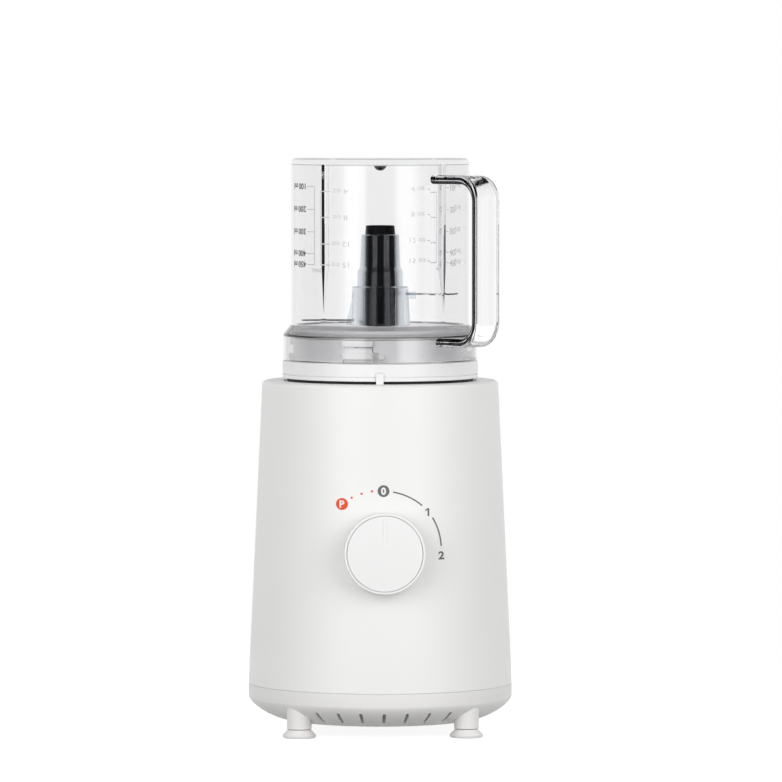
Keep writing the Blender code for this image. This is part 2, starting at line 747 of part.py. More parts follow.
def make_upper_bracket(axis):
    top = UPPER_PLATE_Z + BRACKET_T
    boss_top = UPPER_PLATE_Z + BEARING_BOSS_H
    boss_r = BEARING_SEAT_R + BEARING_BOSS_WALL
    lip = UPPER_PLATE_Z + BRACKET_LIP_T
    profile = [
        (BEARING_SEAT_R, boss_top),
        (boss_r, boss_top),
        (boss_r, top),
        (BRACKET_R, top),
        (BRACKET_R, UPPER_PLATE_Z),
        (STATOR_R, UPPER_PLATE_Z),
        (STATOR_R, UPPER_PLATE_Z - UPPER_SKIRT_H),
        (YOKE_R, UPPER_PLATE_Z - UPPER_SKIRT_H),
        (YOKE_R, UPPER_PLATE_Z),
        (SHAFT_HOLE_R, UPPER_PLATE_Z),
        (SHAFT_HOLE_R, lip),
        (BEARING_SEAT_R, lip),
    ]
    bracket = place("upper_bracket", turned_mesh("upper_bracket", profile, MIDDLE), axis, "grey_plastic")
    holes = pegs(
        "bracket_holes", mount_places(), MOTOR_SCREW_R + GAP, LOWER_PLATE_Z, POST_Z, SMALL, axis
    )
    boolean(bracket, holes, "DIFFERENCE")
    return bracket


def make_lower_bracket(axis):
    boss_r = BEARING_SEAT_R + BEARING_BOSS_WALL
    lip = LOWER_PLATE_Z
    profile = [
        (SHAFT_HOLE_R, LOWER_PLATE_TOP_Z),
        (YOKE_R, LOWER_PLATE_TOP_Z),
        (YOKE_R, LOWER_PLATE_TOP_Z + LOWER_SKIRT_H),
        (STATOR_R, LOWER_PLATE_TOP_Z + LOWER_SKIRT_H),
        (STATOR_R, LOWER_PLATE_Z),
        (boss_r, LOWER_PLATE_Z),
        (boss_r, LOWER_BOSS_Z),
        (BEARING_SEAT_R, LOWER_BOSS_Z),
        (BEARING_SEAT_R, lip),
        (SHAFT_HOLE_R, lip),
    ]
    return place("lower_bracket", turned_mesh("lower_bracket", profile, MIDDLE), axis, "grey_plastic")


def make_bearings(axis):
    lows = {
        "upper_bearing": UPPER_PLATE_Z + BRACKET_LIP_T + GAP,
        "lower_bearing": LOWER_PLATE_Z - GAP - BEARING_H,
    }
    for name, low in lows.items():
        profile = ring_profile(SHAFT_BORE_R, BEARING_R, low, low + BEARING_H)
        place(name, turned_mesh(name, profile, MIDDLE), axis, "steel")


def make_motor_mounts(axis):
    bush_low = UPPER_PLATE_Z + BRACKET_T + GAP
    bush = ring_profile(MOTOR_SCREW_R + GAP, MOUNT_BUSH_R, bush_low, bush_low + MOUNT_BUSH_H)
    head_top = UPPER_PLATE_Z - GAP
    shank_top = head_top + MOTOR_SCREW_LENGTH
    screw = [
        (0.0, shank_top),
        (MOTOR_SCREW_R, shank_top),
        (MOTOR_SCREW_R, head_top),
        (MOTOR_SCREW_HEAD_R, head_top),
        (MOTOR_SCREW_HEAD_R, head_top - MOTOR_SCREW_HEAD_H),
        (0.0, head_top - MOTOR_SCREW_HEAD_H),
    ]
    for number, spot in enumerate(mount_places(), 1):
        bush_name = f"mount_bush_{number}"
        place(bush_name, turned_mesh(bush_name, bush, SMALL), axis, "black_rubber", spot)
        screw_name = f"motor_screw_{number}"
        place(screw_name, turned_mesh(screw_name, screw, SMALL), axis, "steel", spot)


def tie_bolt_places():
    middle = (STATOR_R + YOKE_R) / 2
    return [polar(middle, a) for a in TIE_BOLT_ANGLES]


def make_stator(axis):
    """A ring with two poles that reach in, at right and left."""
    yoke_half_angle = 90.0 - POLE_HALF_ANGLE - math.degrees(GAP / POLE_R)
    stations = []
    for pole in (0.0, 180.0):
        for middle, half, inner in (
            (pole, POLE_HALF_ANGLE, POLE_R),
            (pole + 90.0, yoke_half_angle, YOKE_R),
        ):
            for i in range(POLE_STEPS + 1):
                angle = middle + half * (2 * i / POLE_STEPS - 1)
                stations.append((angle, STATOR_R, inner))
    mesh = ring_prism_mesh("stator_core", stations, STACK_Z, STACK_TOP_Z)
    return place("stator_core", mesh, axis, "lamination")


def make_tie_bolts(axis, drilled):
    head_top = LOWER_PLATE_Z - GAP
    shank_top = UPPER_PLATE_Z - BRACKET_T
    holes = pegs(
        "tie_bolt_holes", tie_bolt_places(), TIE_BOLT_R + GAP, HOUSING_Z, shank_top + GAP, SMALL, axis
    )
    for piece in drilled:
        boolean(piece, holes, "DIFFERENCE")
    profile = [
        (0.0, shank_top),
        (TIE_BOLT_R, shank_top),
        (TIE_BOLT_R, head_top),
        (TIE_BOLT_HEAD_R, head_top),
        (TIE_BOLT_HEAD_R, head_top - TIE_BOLT_HEAD_H),
        (0.0, head_top - TIE_BOLT_HEAD_H),
    ]
    for number, spot in enumerate(tie_bolt_places(), 1):
        name = f"tie_bolt_{number}"
        place(name, turned_mesh(name, profile, SMALL), axis, "steel", spot)


def make_field_coils(axis):
    """A winding round each pole, as one curved frame with the pole in its window."""
    window_angle = POLE_HALF_ANGLE + math.degrees(2 * GAP / COIL_INNER_R)
    window_low = STACK_Z - GAP
    window_high = STACK_TOP_Z + GAP
    for name, middle in (("field_coil_right", 0.0), ("field_coil_left", 180.0)):
        frame = sector_mesh(
            name,
            COIL_INNER_R,
            COIL_OUTER_R,
            STACK_Z - COIL_OVERHANG,
            STACK_TOP_Z + COIL_OVERHANG,
            [middle],
            COIL_HALF_ANGLE,
            COIL_STEPS,
        )
        coil = place(name, frame, axis, "copper")
        window = sector_mesh(
            name + "_window",
            POLE_R / 2,
            STATOR_R,
            window_low,
            window_high,
            [middle],
            window_angle,
            WINDOW_STEPS,
        )
        boolean(coil, place(name + "_window", window, axis), "DIFFERENCE")


def make_brushes(axis):
    """Carbon brushes in their holders, on the lower bracket at front and back."""
    holder_w = BRUSH_W + 2 * (BRUSH_HOLDER_WALL + GAP)
    holder_h = BRUSH_H + 2 * (BRUSH_HOLDER_WALL + GAP)
    low_z = LOWER_PLATE_TOP_Z + GAP
    start = COMMUTATOR_R + RUN_GAP
    holder_start = start + BRUSH_HOLDER_WALL
    brush_low_z = low_z + BRUSH_HOLDER_WALL + GAP
    for number, turn in enumerate((-90.0, 90.0), 1):
        holder_name = f"brush_holder_{number}"
        low = (holder_start, -holder_w / 2, low_z)
        high = (holder_start + BRUSH_HOLDER_LENGTH, holder_w / 2, low_z + holder_h)
        holder = place(holder_name, box_mesh(holder_name, low, high), axis, "brass", turn=turn)
        slot_low = (0.0, -BRUSH_W / 2 - GAP, brush_low_z - GAP)
        slot_high = (start + BRUSH_LENGTH + GAP, BRUSH_W / 2 + GAP, brush_low_z + BRUSH_H + GAP)
        slot_name = holder_name + "_slot"
        slot = place(slot_name, box_mesh(slot_name, slot_low, slot_high), axis, turn=turn)
        boolean(holder, slot, "DIFFERENCE")
        brush_name = f"carbon_brush_{number}"
        low = (start, -BRUSH_W / 2, brush_low_z)
        high = (start + BRUSH_LENGTH, BRUSH_W / 2, brush_low_z + BRUSH_H)
        place(brush_name, box_mesh(brush_name, low, high), axis, "carbon", turn=turn)


def make_rotor(axis):
    shaft_top = DOG_Z + DOG_H - COUPLER_BORE_STEP
    shaft_low = FAN_TOP_Z - FAN_H - GAP
    shaft = turned_mesh("motor_shaft", rod_profile(MOTOR_SHAFT_R, shaft_low, shaft_top), SMALL)
    place("motor_shaft", shaft, axis, "steel")
    armature_r = POLE_R - AIR_GAP
    slot_r = armature_r - ARMATURE_SLOT_DEPTH
    slot_start = (1 + ARMATURE_TOOTH_SHARE - ARMATURE_SLOT_SHARE) / 2
    stations = []
    for i in range(ARMATURE_SLOTS):
        for share, radius in (
            (0.0, armature_r),
            (ARMATURE_TOOTH_SHARE, armature_r),
            (slot_start, slot_r),
            (slot_start + ARMATURE_SLOT_SHARE, slot_r),
        ):
            stations.append((360.0 * (i + share) / ARMATURE_SLOTS, radius, SHAFT_BORE_R))
    core = ring_prism_mesh("armature_core", stations, STACK_Z, STACK_TOP_Z)
    place("armature_core", core, axis, "lamination")
    low = LOWER_PLATE_TOP_Z + 4 * GAP
    ring = ring_profile(SHAFT_BORE_R, COMMUTATOR_R, low, low + COMMUTATOR_H)
    place("commutator", turned_mesh("commutator", ring, MIDDLE), axis, "copper")
    stations = []
    for i in range(FAN_BLADES):
        for share, radius in (
            (0.0, FAN_R),
            (FAN_BLADE_SHARE, FAN_R),
            (FAN_BLADE_SHARE + FAN_ROOT_SHARE, FAN_HUB_R),
            (1.0 - FAN_ROOT_SHARE, FAN_HUB_R),
        ):
            stations.append((360.0 * (i + share) / FAN_BLADES, radius, SHAFT_BORE_R))
    fan = ring_prism_mesh("cooling_fan", stations, FAN_TOP_Z - FAN_H, FAN_TOP_Z)
    place("cooling_fan", fan, axis, "grey_plastic")


def dog_angles(start):
    return [start + 360.0 * i / DOG_COUNT for i in range(DOG_COUNT)]


def make_drive_coupler(axis):
    top = DOG_Z + DOG_H
    profile = [
        (SHAFT_BORE_R, DOG_Z),
        (COUPLER_BORE_R, DOG_Z),
        (COUPLER_BORE_R, top),
        (COUPLER_R, top),
        (COUPLER_R, COUPLER_Z),
        (SHAFT_BORE_R, COUPLER_Z),
    ]
    coupler = place("drive_coupler", turned_mesh("drive_coupler", profile, MIDDLE), axis, "black_plastic")
    gap_half = 180.0 / DOG_COUNT - DOG_HALF_ANGLE
    cutter = sector_mesh(
        "drive_gaps",
        SHAFT_BORE_R / 2,
        COUPLER_R + COUPLER_BORE_STEP,
        DOG_Z,
        top + DOG_H,
        dog_angles(180.0 / DOG_COUNT),
        gap_half,
    )
    boolean(coupler, place("drive_gaps", cutter, axis), "DIFFERENCE")


def make_driven_coupler(unit):
    """Its dogs hang between those of the drive coupler, so it is turned back by the turn of the unit."""
    low = DOG_Z + GAP
    disc_top = DRIVEN_DISC_Z + DRIVEN_DISC_H
    bore = BLADE_SHAFT_R + GAP
    profile = [
        (bore, HUB_Z - 2 * GAP),
        (bore + DRIVEN_BOSS_WALL, HUB_Z - 2 * GAP),
        (bore + DRIVEN_BOSS_WALL, disc_top),
        (COUPLER_R, disc_top),
        (COUPLER_R, low),
        (COUPLER_BORE_R, low),
        (COUPLER_BORE_R, DRIVEN_DISC_Z),
        (bore, DRIVEN_DISC_Z),
    ]
    mesh = turned_mesh("driven_coupler", profile, MIDDLE)
    coupler = place("driven_coupler", mesh, unit, "black_plastic", turn=-UNIT_TURN)
    gap_half = 180.0 / DOG_COUNT - DOG_HALF_ANGLE
    cutter = sector_mesh(
        "driven_gaps",
        SHAFT_BORE_R / 2,
        COUPLER_R + COUPLER_BORE_STEP,
        low - DOG_H,
        DRIVEN_DISC_Z,
        dog_angles(0.0),
        gap_half,
    )
    boolean(coupler, place("driven_gaps", cutter, unit, turn=-UNIT_TURN), "DIFFERENCE")


def make_blade_holder(unit):
    collar_in = COLLAR_R - COLLAR_WALL
    lip_z = COLLAR_Z + LIP_H
    seat_r = DRUM_R - SEAT_DEPTH
    under = FLOOR_Z - FLOOR_T
    seal_z = HUB_TOP_Z - SEAL_H - GAP
    profile = [
        (SEAL_BORE_R, HUB_TOP_Z),
        (HUB_R, HUB_TOP_Z),
        (HUB_R, FLOOR_Z),
        (seat_r, FLOOR_Z),
        (seat_r, SEAT_Z),
        (DRUM_R, SEAT_Z),
        (DRUM_R, COLLAR_TOP_Z),
        (COLLAR_R - COLLAR_EDGE, COLLAR_TOP_Z),
        (COLLAR_R, COLLAR_TOP_Z - COLLAR_EDGE),
        (COLLAR_R, lip_z + LIP_GROOVE),
        (COLLAR_R - LIP_GROOVE, lip_z),
        (COLLAR_R, lip_z - LIP_GROOVE),
        (COLLAR_R, COLLAR_Z),
        (collar_in, COLLAR_Z),
        (collar_in, COLLAR_TOP_Z - COLLAR_WALL),
        (SPIGOT_R, COLLAR_TOP_Z - COLLAR_WALL),
        (SPIGOT_R, SPIGOT_Z),
        (SPIGOT_INNER_R, SPIGOT_Z),
        (SPIGOT_INNER_R, under),
        (HUB_R, under),
        (HUB_R, HUB_Z),
        (HUB_BORE_R, HUB_Z),
        (HUB_BORE_R, seal_z),
        (SEAL_BORE_R, seal_z),
    ]
    holder = place("blade_holder", turned_mesh("blade_holder", profile, WIDE), unit, "white_plastic")
    lug_low = JAR_Z + LEDGE_H + GAP
    lugs = sector_mesh(
        "bayonet_lugs", DRUM_R - SEAT_DEPTH / 2, LUG_R, lug_low, lug_low + LUG_H, LUG_ANGLES, LUG_HALF_ANGLE
    )
    boolean(holder, place("bayonet_lugs", lugs, unit), "UNION")
    tab_low = (collar_in + COLLAR_WALL / 2, -TAB_W / 2, DECK_Z + TAB_GAP)
    tab_high = (COLLAR_R + TAB_OUT, TAB_W / 2, lip_z + LIP_H / 2)
    tab = box_mesh("index_tab", tab_low, tab_high, -90.0)
    boolean(holder, place("index_tab", tab, unit), "UNION")


def make_shaft_fittings(unit):
    seal_z = HUB_TOP_Z - SEAL_H
    bush = ring_profile(BLADE_SHAFT_R + GAP, BUSH_R, HUB_Z, seal_z - 2 * GAP)
    place("shaft_bush", turned_mesh("shaft_bush", bush, SMALL), unit, "brass")
    seal = ring_profile(BLADE_SHAFT_R + GAP, SEAL_BORE_R - GAP, seal_z, HUB_TOP_Z)
    place("shaft_seal", turned_mesh("shaft_seal", seal, SMALL), unit, "black_rubber")
    seat_r = DRUM_R - SEAT_DEPTH
    gasket = ring_profile(seat_r + GAP, seat_r + GAP + GASKET_W, SEAT_Z + GAP, SEAT_Z + GAP + GASKET_H)
    place("jar_gasket", turned_mesh("jar_gasket", gasket, WIDE), unit, "silicone")


def make_blade_shaft(unit):
    rod = rod_profile(BLADE_SHAFT_R, DRIVEN_DISC_Z + GAP, CORE_Z + SHAFT_IN_CORE)
    place("blade_shaft", turned_mesh("blade_shaft", rod, SMALL), unit, "steel")


def make_spindle_core(unit):
    top = CORE_Z + CORE_H
    bore = BLADE_SHAFT_R + GAP
    step = CORE_Z + CORE_STEP_H
    edge = CORE_R - CORE_NOSE_R
    profile = [
        (0.0, top),
        (CORE_NOSE_R - edge, top),
        (CORE_NOSE_R, top - edge),
        (CORE_NOSE_R, step + edge),
        (CORE_R, step),
        (CORE_R, CORE_Z),
        (bore, CORE_Z),
        (bore, CORE_Z + SHAFT_IN_CORE + GAP),
        (0.0, CORE_Z + SHAFT_IN_CORE + GAP),
    ]
    place("spindle_core", turned_mesh("spindle_core", profile, MIDDLE), unit, "black_plastic")


def blade_heights():
    return {"upper_blade": CARRIER_Z + UPPER_BLADE_H, "lower_blade": CARRIER_Z + LOWER_BLADE_H}


BLADE_TURNS = {"upper_blade": 0.0, "lower_blade": 180.0}


def make_blade_carrier(unit):
    top = CARRIER_Z + CARRIER_H
    step = CARRIER_Z + CARRIER_STEP_H
    foot = CARRIER_Z + CARRIER_FOOT_H
    collar_r = CARRIER_R + CARRIER_STEP_W
    foot_r = CARRIER_BORE_R + CARRIER_WALL + CARRIER_FOOT_W
    profile = [
        (CARRIER_BORE_R, top),
        (CARRIER_R, top),
        (CARRIER_R, step),
        (collar_r, step),
        (collar_r, foot),
        (foot_r, foot),
        (foot_r + CARRIER_FLARE, CARRIER_Z),
        (CARRIER_BORE_R, CARRIER_Z),
    ]
    carrier = place("blade_carrier", turned_mesh("blade_carrier", profile, MIDDLE), unit, "frosted_plastic")
    arms = bmesh.new()
    slots = bmesh.new()
    slot_w = BLADE_ROOT_W / 2 + GAP
    slot_h = BLADE_T / 2 + GAP
    for name, z in blade_heights().items():
        turn = BLADE_TURNS[name]
        low_z = max(z - ARM_H / 2, CARRIER_Z)
        add_box(arms, (collar_r, -ARM_W / 2, low_z), (ARM_REACH, ARM_W / 2, z + ARM_H / 2), turn)
        add_box(slots, (collar_r, -slot_w, z - slot_h), (2 * ARM_REACH, slot_w, z + slot_h), turn)
    boolean(carrier, place("carrier_arms", mesh_from(arms, "carrier_arms"), unit), "UNION")
    boolean(carrier, place("blade_slots", mesh_from(slots, "blade_slots"), unit), "DIFFERENCE")


def make_blades(unit):
    """Thin steel blades: a straight root in the carrier's slot and a belly that sweeps to a point."""
    root_r = CARRIER_R + CARRIER_STEP_W + GAP
    for name, z in blade_heights().items():
        outline = [(root_r, BLADE_ROOT_W / 2), (root_r, -BLADE_ROOT_W / 2), (ARM_REACH, -BLADE_ROOT_W / 2)]
        reach = BLADE_TIP_R - ARM_REACH
        for i in range(1, BLADE_STEPS + 1):
            t = i / BLADE_STEPS
            sweep = -BLADE_ROOT_W / 2 - (BLADE_BELLY_W - BLADE_ROOT_W) * math.sin(math.pi * t)
            outline.append((ARM_REACH + reach * t, sweep + BLADE_ROOT_W * t * t))
        outline.append((ARM_REACH, BLADE_ROOT_W / 2))
        bm = bmesh.new()
        add_prism(bm, outline, z - BLADE_T / 2, z + BLADE_T / 2)
        place(name, mesh_from(bm, name), unit, "steel", turn=BLADE_TURNS[name])


def rib_outline():
    """Side view of a jar rib: (radius, z), deep along the wall and running out to a point below."""
    outer = JAR_INNER_R + JAR_WALL / 2
    inner = JAR_INNER_R - RIB_DEPTH
    top = JAR_TOP_Z - JAR_WALL / 2
    end = JAR_Z + RIB_END_H
    return [(outer, top), (inner, top), (inner, end + RIB_TAPER_H), (JAR_INNER_R, end), (outer, end)]


def make_jar(unit):
    inner_top = JAR_TOP_Z - JAR_WALL
    inner_edge = JAR_EDGE - JAR_WALL / 2
    profile = [(0.0, JAR_TOP_Z)] + rounded_edge(JAR_R, JAR_TOP_Z, JAR_EDGE) + [
        (JAR_R, SKIRT_TOP_Z + SHOULDER_H),
        (SKIRT_R, SKIRT_TOP_Z),
        (SKIRT_R, JAR_Z),
        (SKIRT_INNER_R, JAR_Z),
        (SKIRT_INNER_R, SKIRT_TOP_Z - JAR_WALL / 2),
        (JAR_INNER_R, SKIRT_TOP_Z + SHOULDER_H - JAR_WALL / 2),
        (JAR_INNER_R, inner_top - inner_edge),
        (JAR_INNER_R - inner_edge, inner_top),
        (GATE_R, inner_top),
        (GATE_R * GATE_TIP_SHARE, inner_top - GATE_H * GATE_SIDE_SHARE),
        (0.0, inner_top - GATE_H),
    ]
    jar = place("jar", turned_mesh("jar", profile, WIDE), unit, "clear_plastic")
    ribs = bmesh.new()
    for turn in RIB_ANGLES:
        spin = Matrix.Rotation(math.radians(turn), 3, "Z")
        loop = [ribs.verts.new(spin @ Vector((r, -RIB_W / 2, z))) for r, z in rib_outline()]
        side = ribs.faces.new(loop)
        grown = bmesh.ops.extrude_face_region(ribs, geom=[side])
        far = [item for item in grown["geom"] if isinstance(item, bmesh.types.BMVert)]
        bmesh.ops.translate(ribs, verts=far, vec=spin @ Vector((0, RIB_W, 0)))
    boolean(jar, place("jar_ribs", mesh_from(ribs, "jar_ribs"), unit), "UNION")
    ledges = sector_mesh(
        "jar_ledges",
        DRUM_R + RUN_GAP,
        SKIRT_INNER_R + JAR_WALL / 2,
        JAR_Z,
        JAR_Z + LEDGE_H,
        LUG_ANGLES,
        LUG_HALF_ANGLE,
    )
    boolean(jar, place("jar_ledges", ledges, unit), "UNION")


def handle_path():
    """Middle line of the band in its own plane: (distance from the axis, z), from top end to lower end."""
    reach = JAR_R + HANDLE_STANDOFF - HANDLE_T / 2
    top = JAR_TOP_Z - HANDLE_TOP_DROP
    foot = JAR_Z + HANDLE_FOOT_RISE
    radius = HANDLE_CORNER - HANDLE_T / 2
    path = [(JAR_R + GAP, top)]
    for i in range(CORNER_STEPS + 1):
        t = math.pi / 2 * i / CORNER_STEPS
        path.append((reach - radius * (1 - math.sin(t)), top - radius * (1 - math.cos(t))))
    for i in range(CORNER_STEPS + 1):
        t = math.pi / 2 * i / CORNER_STEPS
        path.append((reach - radius * (1 - math.cos(t)), foot + radius * (1 - math.sin(t))))
    path.append((SKIRT_R + GAP, foot))
    return [Vector(point) for point in path]


def make_handle(unit):
    path = handle_path()
    bm = bmesh.new()
    rows = []
    for i, point in enumerate(path):
        before = path[max(i - 1, 0)]
        after = path[min(i + 1, len(path) - 1)]
        along = (after - before).normalized()
        across = Vector((-along.y, along.x)) * HANDLE_T / 2
        half = HANDLE_W / 2
        corners = ((across, half), (across, -half), (-across, -half), (-across, half))
        rows.append([bm.verts.new((point.x + a.x, w, point.y + a.y)) for a, w in corners])
    for row, following in zip(rows, rows[1:]):
        for i in range(4):
            j = (i + 1) % 4
            bm.faces.new((row[i], row[j], following[j], following[i]))
    bm.faces.new(rows[0])
    bm.faces.new(rows[-1])
    place("jar_handle", mesh_from(bm, "jar_handle"), unit, "clear_plastic", turn=HANDLE_ANGLE)


def main():
    clear_scene()
    axis = empty("motor_axis", place=(0, AXIS_Y, 0))
    lean = math.pi / 2 - TAPER_ANGLE
    dial = empty("dial", axis, (0, -wall_radius(KNOB_Z), KNOB_Z), (lean, 0, 0))
    inlet = empty("inlet", axis, (0, wall_radius(GLAND_Z), GLAND_Z), (-lean, 0, 0))
    unit = empty("blade_unit", axis, turn=(0, 0, math.radians(UNIT_TURN)))
    make_housing(axis, dial, inlet)
    make_bottom_cover(axis)
    make_feet(axis)
    make_cover_screws(axis)
    make_socket_ring(axis)
    make_knob(dial)
    make_switch(dial)
    make_cord_gland(inlet)
    make_interlock(axis)
    upper = make_upper_bracket(axis)
    lower = make_lower_bracket(axis)
    make_bearings(axis)
    make_motor_mounts(axis)
    stator = make_stator(axis)
    make_tie_bolts(axis, (upper, lower, stator))
    make_field_coils(axis)
    make_brushes(axis)
    make_rotor(axis)
    make_drive_coupler(axis)
    make_driven_coupler(unit)
    make_blade_holder(unit)
    make_shaft_fittings(unit)
    make_blade_shaft(unit)
    make_spindle_core(unit)
    make_blade_carrier(unit)
    make_blades(unit)
    make_jar(unit)
    make_handle(unit)


main()
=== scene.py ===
"""Fine visual model of the baby food maker, with its materials, studio light and camera.

Shapes are written in millimetres about the motor axis, +Z up, with the knob towards -Y.
"""

import json
import math

import bmesh
import bpy
from mathutils import Matrix, Vector


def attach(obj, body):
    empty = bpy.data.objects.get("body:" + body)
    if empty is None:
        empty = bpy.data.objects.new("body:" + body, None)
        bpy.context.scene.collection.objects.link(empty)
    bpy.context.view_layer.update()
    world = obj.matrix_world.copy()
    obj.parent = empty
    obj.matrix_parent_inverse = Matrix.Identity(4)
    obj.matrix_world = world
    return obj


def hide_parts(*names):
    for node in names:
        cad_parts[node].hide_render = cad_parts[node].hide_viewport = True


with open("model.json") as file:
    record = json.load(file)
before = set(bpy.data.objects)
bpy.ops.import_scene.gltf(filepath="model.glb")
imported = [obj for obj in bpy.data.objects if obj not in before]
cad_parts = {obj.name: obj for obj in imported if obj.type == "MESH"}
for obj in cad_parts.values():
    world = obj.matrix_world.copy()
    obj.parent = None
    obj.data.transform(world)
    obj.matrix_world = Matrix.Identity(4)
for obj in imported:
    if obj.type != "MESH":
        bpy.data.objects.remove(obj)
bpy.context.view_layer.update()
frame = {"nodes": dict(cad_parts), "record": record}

# A millimetre in metres, the motor axis in the shared frame, and the blade unit's turn in its socket
MM = 0.001
AXIS_Y = 0.0054675
UNIT_TURN = -2.0

# The housing's tapered wall, and the heights of the knob and the cord inlet on it
WALL_R = 76.6
WALL_FOOT = 27.7
TAPER = 8.1 / 175.3
LEAN = math.atan(TAPER)
KNOB_Z = 107.8
INLET_Z = 62.0

# The jar's outer and inner radius
JAR_R = 51.9
JAR_INNER_R = 49.5

# Steps round a turned piece, by its size, and round a rounded corner
FINE = 192
ROUND = 96
CUP = 64
PEG = 48
ARC = 6
COARSE_ARC = 4

# Edges between faces that meet at more than this many degrees are shaded sharp
SHARP = 32.0


def wall_radius(z):
    """Outer radius of the tapered housing at height z."""
    return WALL_R - TAPER * (z - WALL_FOOT)


def spin(degrees):
    """A turn about Z."""
    return Matrix.Rotation(math.radians(degrees), 4, "Z")


# Places: each turns a point in millimetres into the world

def upright(turn=0.0, at=(0.0, 0.0, 0.0)):
    """A place that stands on the motor axis, or beside it, turned about Z."""
    shift = Matrix.Translation((at[0] * MM, at[1] * MM + AXIS_Y, at[2] * MM))
    return shift @ spin(turn) @ Matrix.Scale(MM, 4)


def facing(side, z):
    """A frame on the tapered wall at height z, with +Z out of it: side -1 is the front and 1 the back."""
    out = Matrix.Translation((0.0, AXIS_Y + side * wall_radius(z) * MM, z * MM))
    tip = Matrix.Rotation(-side * (math.pi / 2 - LEAN), 4, "X")
    return out @ tip @ Matrix.Scale(MM, 4)


BASE = upright()
UNIT = upright(UNIT_TURN)
DIAL = facing(-1, KNOB_Z)
INLET = facing(1, INLET_Z)

# Stands a flat outline up, so that it faces the front
TO_FRONT = Matrix.Rotation(math.pi / 2, 4, "X")


# Mesh helpers

def new_object(name, data):
    made = bpy.data.objects.new(name, data)
    bpy.context.scene.collection.objects.link(made)
    return made


def piece(name, bm, place, material, body, nodes=()):
    """Finishes a mesh as a named piece that rides on a body and stands for some CAD nodes."""
    bmesh.ops.recalc_face_normals(bm, faces=bm.faces)
    mesh = bpy.data.meshes.new(name)
    bm.to_mesh(mesh)
    bm.free()
    mesh.transform(place)
    mesh.shade_smooth()
    mesh.set_sharp_from_angle(angle=math.radians(SHARP))
    mesh.materials.append(material)
    made = new_object(name, mesh)
    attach(made, body)
    if nodes:
        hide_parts(*nodes)
    return made


def refinish(made, back, materials, choose):
    """Gives each face the material that choose names for its centre, taken back to millimetres, if any."""
    for material in materials:
        made.data.materials.append(material)
    for face in made.data.polygons:
        material = choose(back @ face.center)
        if material:
            face.material_index = materials.index(material) + 1


def polar(radius, degrees):
    angle = math.radians(degrees)
    return (radius * math.cos(angle), radius * math.sin(angle))


def circle(radius, steps=PEG, at=(0.0, 0.0)):
    angles = [2 * math.pi * k / steps for k in range(steps)]
    return [(at[0] + radius * math.cos(a), at[1] + radius * math.sin(a)) for a in angles]


def rounded(points, steps=ARC):
    """A closed outline of (x, y, radius) corners, each rounded to its radius."""
    outline = []
    count = len(points)
    for i, (x, y, radius) in enumerate(points):
        here = Vector((x, y))
        if radius <= 0.0:
            outline.append((x, y))
            continue
        before = (Vector(points[i - 1][:2]) - here).normalized()
        after = (Vector(points[(i + 1) % count][:2]) - here).normalized()
        half = before.angle(after) / 2
        reach = radius / math.tan(half)
        centre = here + (before + after).normalized() * (radius / math.sin(half))
        start = here + before * reach - centre
        end = here + after * reach - centre
        sweep = start.angle_signed(end)
        for k in range(steps + 1):
            turned = start.copy()
            turned.rotate(Matrix.Rotation(-sweep * k / steps, 2))
            outline.append(tuple(centre + turned))
    return outline


def box_outline(x0, y0, x1, y1, radius=0.0, steps=COARSE_ARC):
    """A rectangle with rounded corners."""
    return rounded([(x0, y0, radius), (x1, y0, radius), (x1, y1, radius), (x0, y1, radius)], steps)


def lathe(profile, steps=FINE):
    """Turns a closed outline of (radius, z) points about Z."""
    bm = bmesh.new()
    rows = []
    for r, z in profile:
        if r < 1e-6:
            rows.append([bm.verts.new((0.0, 0.0, z))] * steps)
        else:
            rows.append([bm.verts.new((x, y, z)) for x, y in circle(r, steps)])
    for row, following in zip(rows, rows[1:] + rows[:1]):
        for k in range(steps):
            j = (k + 1) % steps
            corners = []
            for vert in (row[k], row[j], following[j], following[k]):
                if vert not in corners:
                    corners.append(vert)
            if len(corners) > 2:
                bm.faces.new(corners)
    return bm


def loft(rings):
    """Skins matching rings of points and closes both ends."""
    bm = bmesh.new()
    rows = [[bm.verts.new(p) for p in ring] for ring in rings]
    count = len(rows[0])
    for row, following in zip(rows, rows[1:]):
        for k in range(count):
            j = (k + 1) % count
            bm.faces.new((row[k], row[j], following[j], following[k]))
    bm.faces.new(rows[0])
    bm.faces.new(rows[-1])
    return bm


def prism(outline, low, high):
    return loft([[(x, y, low) for x, y in outline], [(x, y, high) for x, y in outline]])


def moved(bm, matrix):
    bmesh.ops.transform(bm, matrix=matrix, verts=bm.verts)
    return bm


def sector(inner, outer, low, high, start, end, steps=12, round_by=0.4, slant=0.0):
    """A block of a ring between two angles in degrees; slant moves the far end's top on."""
    corners = [(inner, low, 0), (outer, low, round_by), (outer, high, round_by), (inner, high, 0)]
    section = rounded(corners, COARSE_ARC)
    rings = []
    for k in range(steps + 1):
        ring = []
        for r, z in section:
            last = end + slant * (z - low) / (high - low)
            ring.append((*polar(r, start + (last - start) * k / steps), z))
        rings.append(ring)
    return loft(rings)


def combine(bm, tools, operation):
    """Joins or cuts a mesh with other meshes and returns the result."""

    def as_object(source):
        bmesh.ops.recalc_face_normals(source, faces=source.faces)
        mesh = bpy.data.meshes.new("shape")
        source.to_mesh(mesh)
        source.free()
        return new_object("shape", mesh)

    target = as_object(bm)
    others = [as_object(tool) for tool in tools]
    for other in others:
        modifier = target.modifiers.new("join", "BOOLEAN")
        modifier.object = other
        modifier.operation = operation
        modifier.solver = "EXACT"
    graph = bpy.context.evaluated_depsgraph_get()
    result = bmesh.new()
    result.from_mesh(target.evaluated_get(graph).to_mesh())
    for made in [target] + others:
        mesh = made.data
        bpy.data.objects.remove(made)
        bpy.data.meshes.remove(mesh)
    return result


# Materials

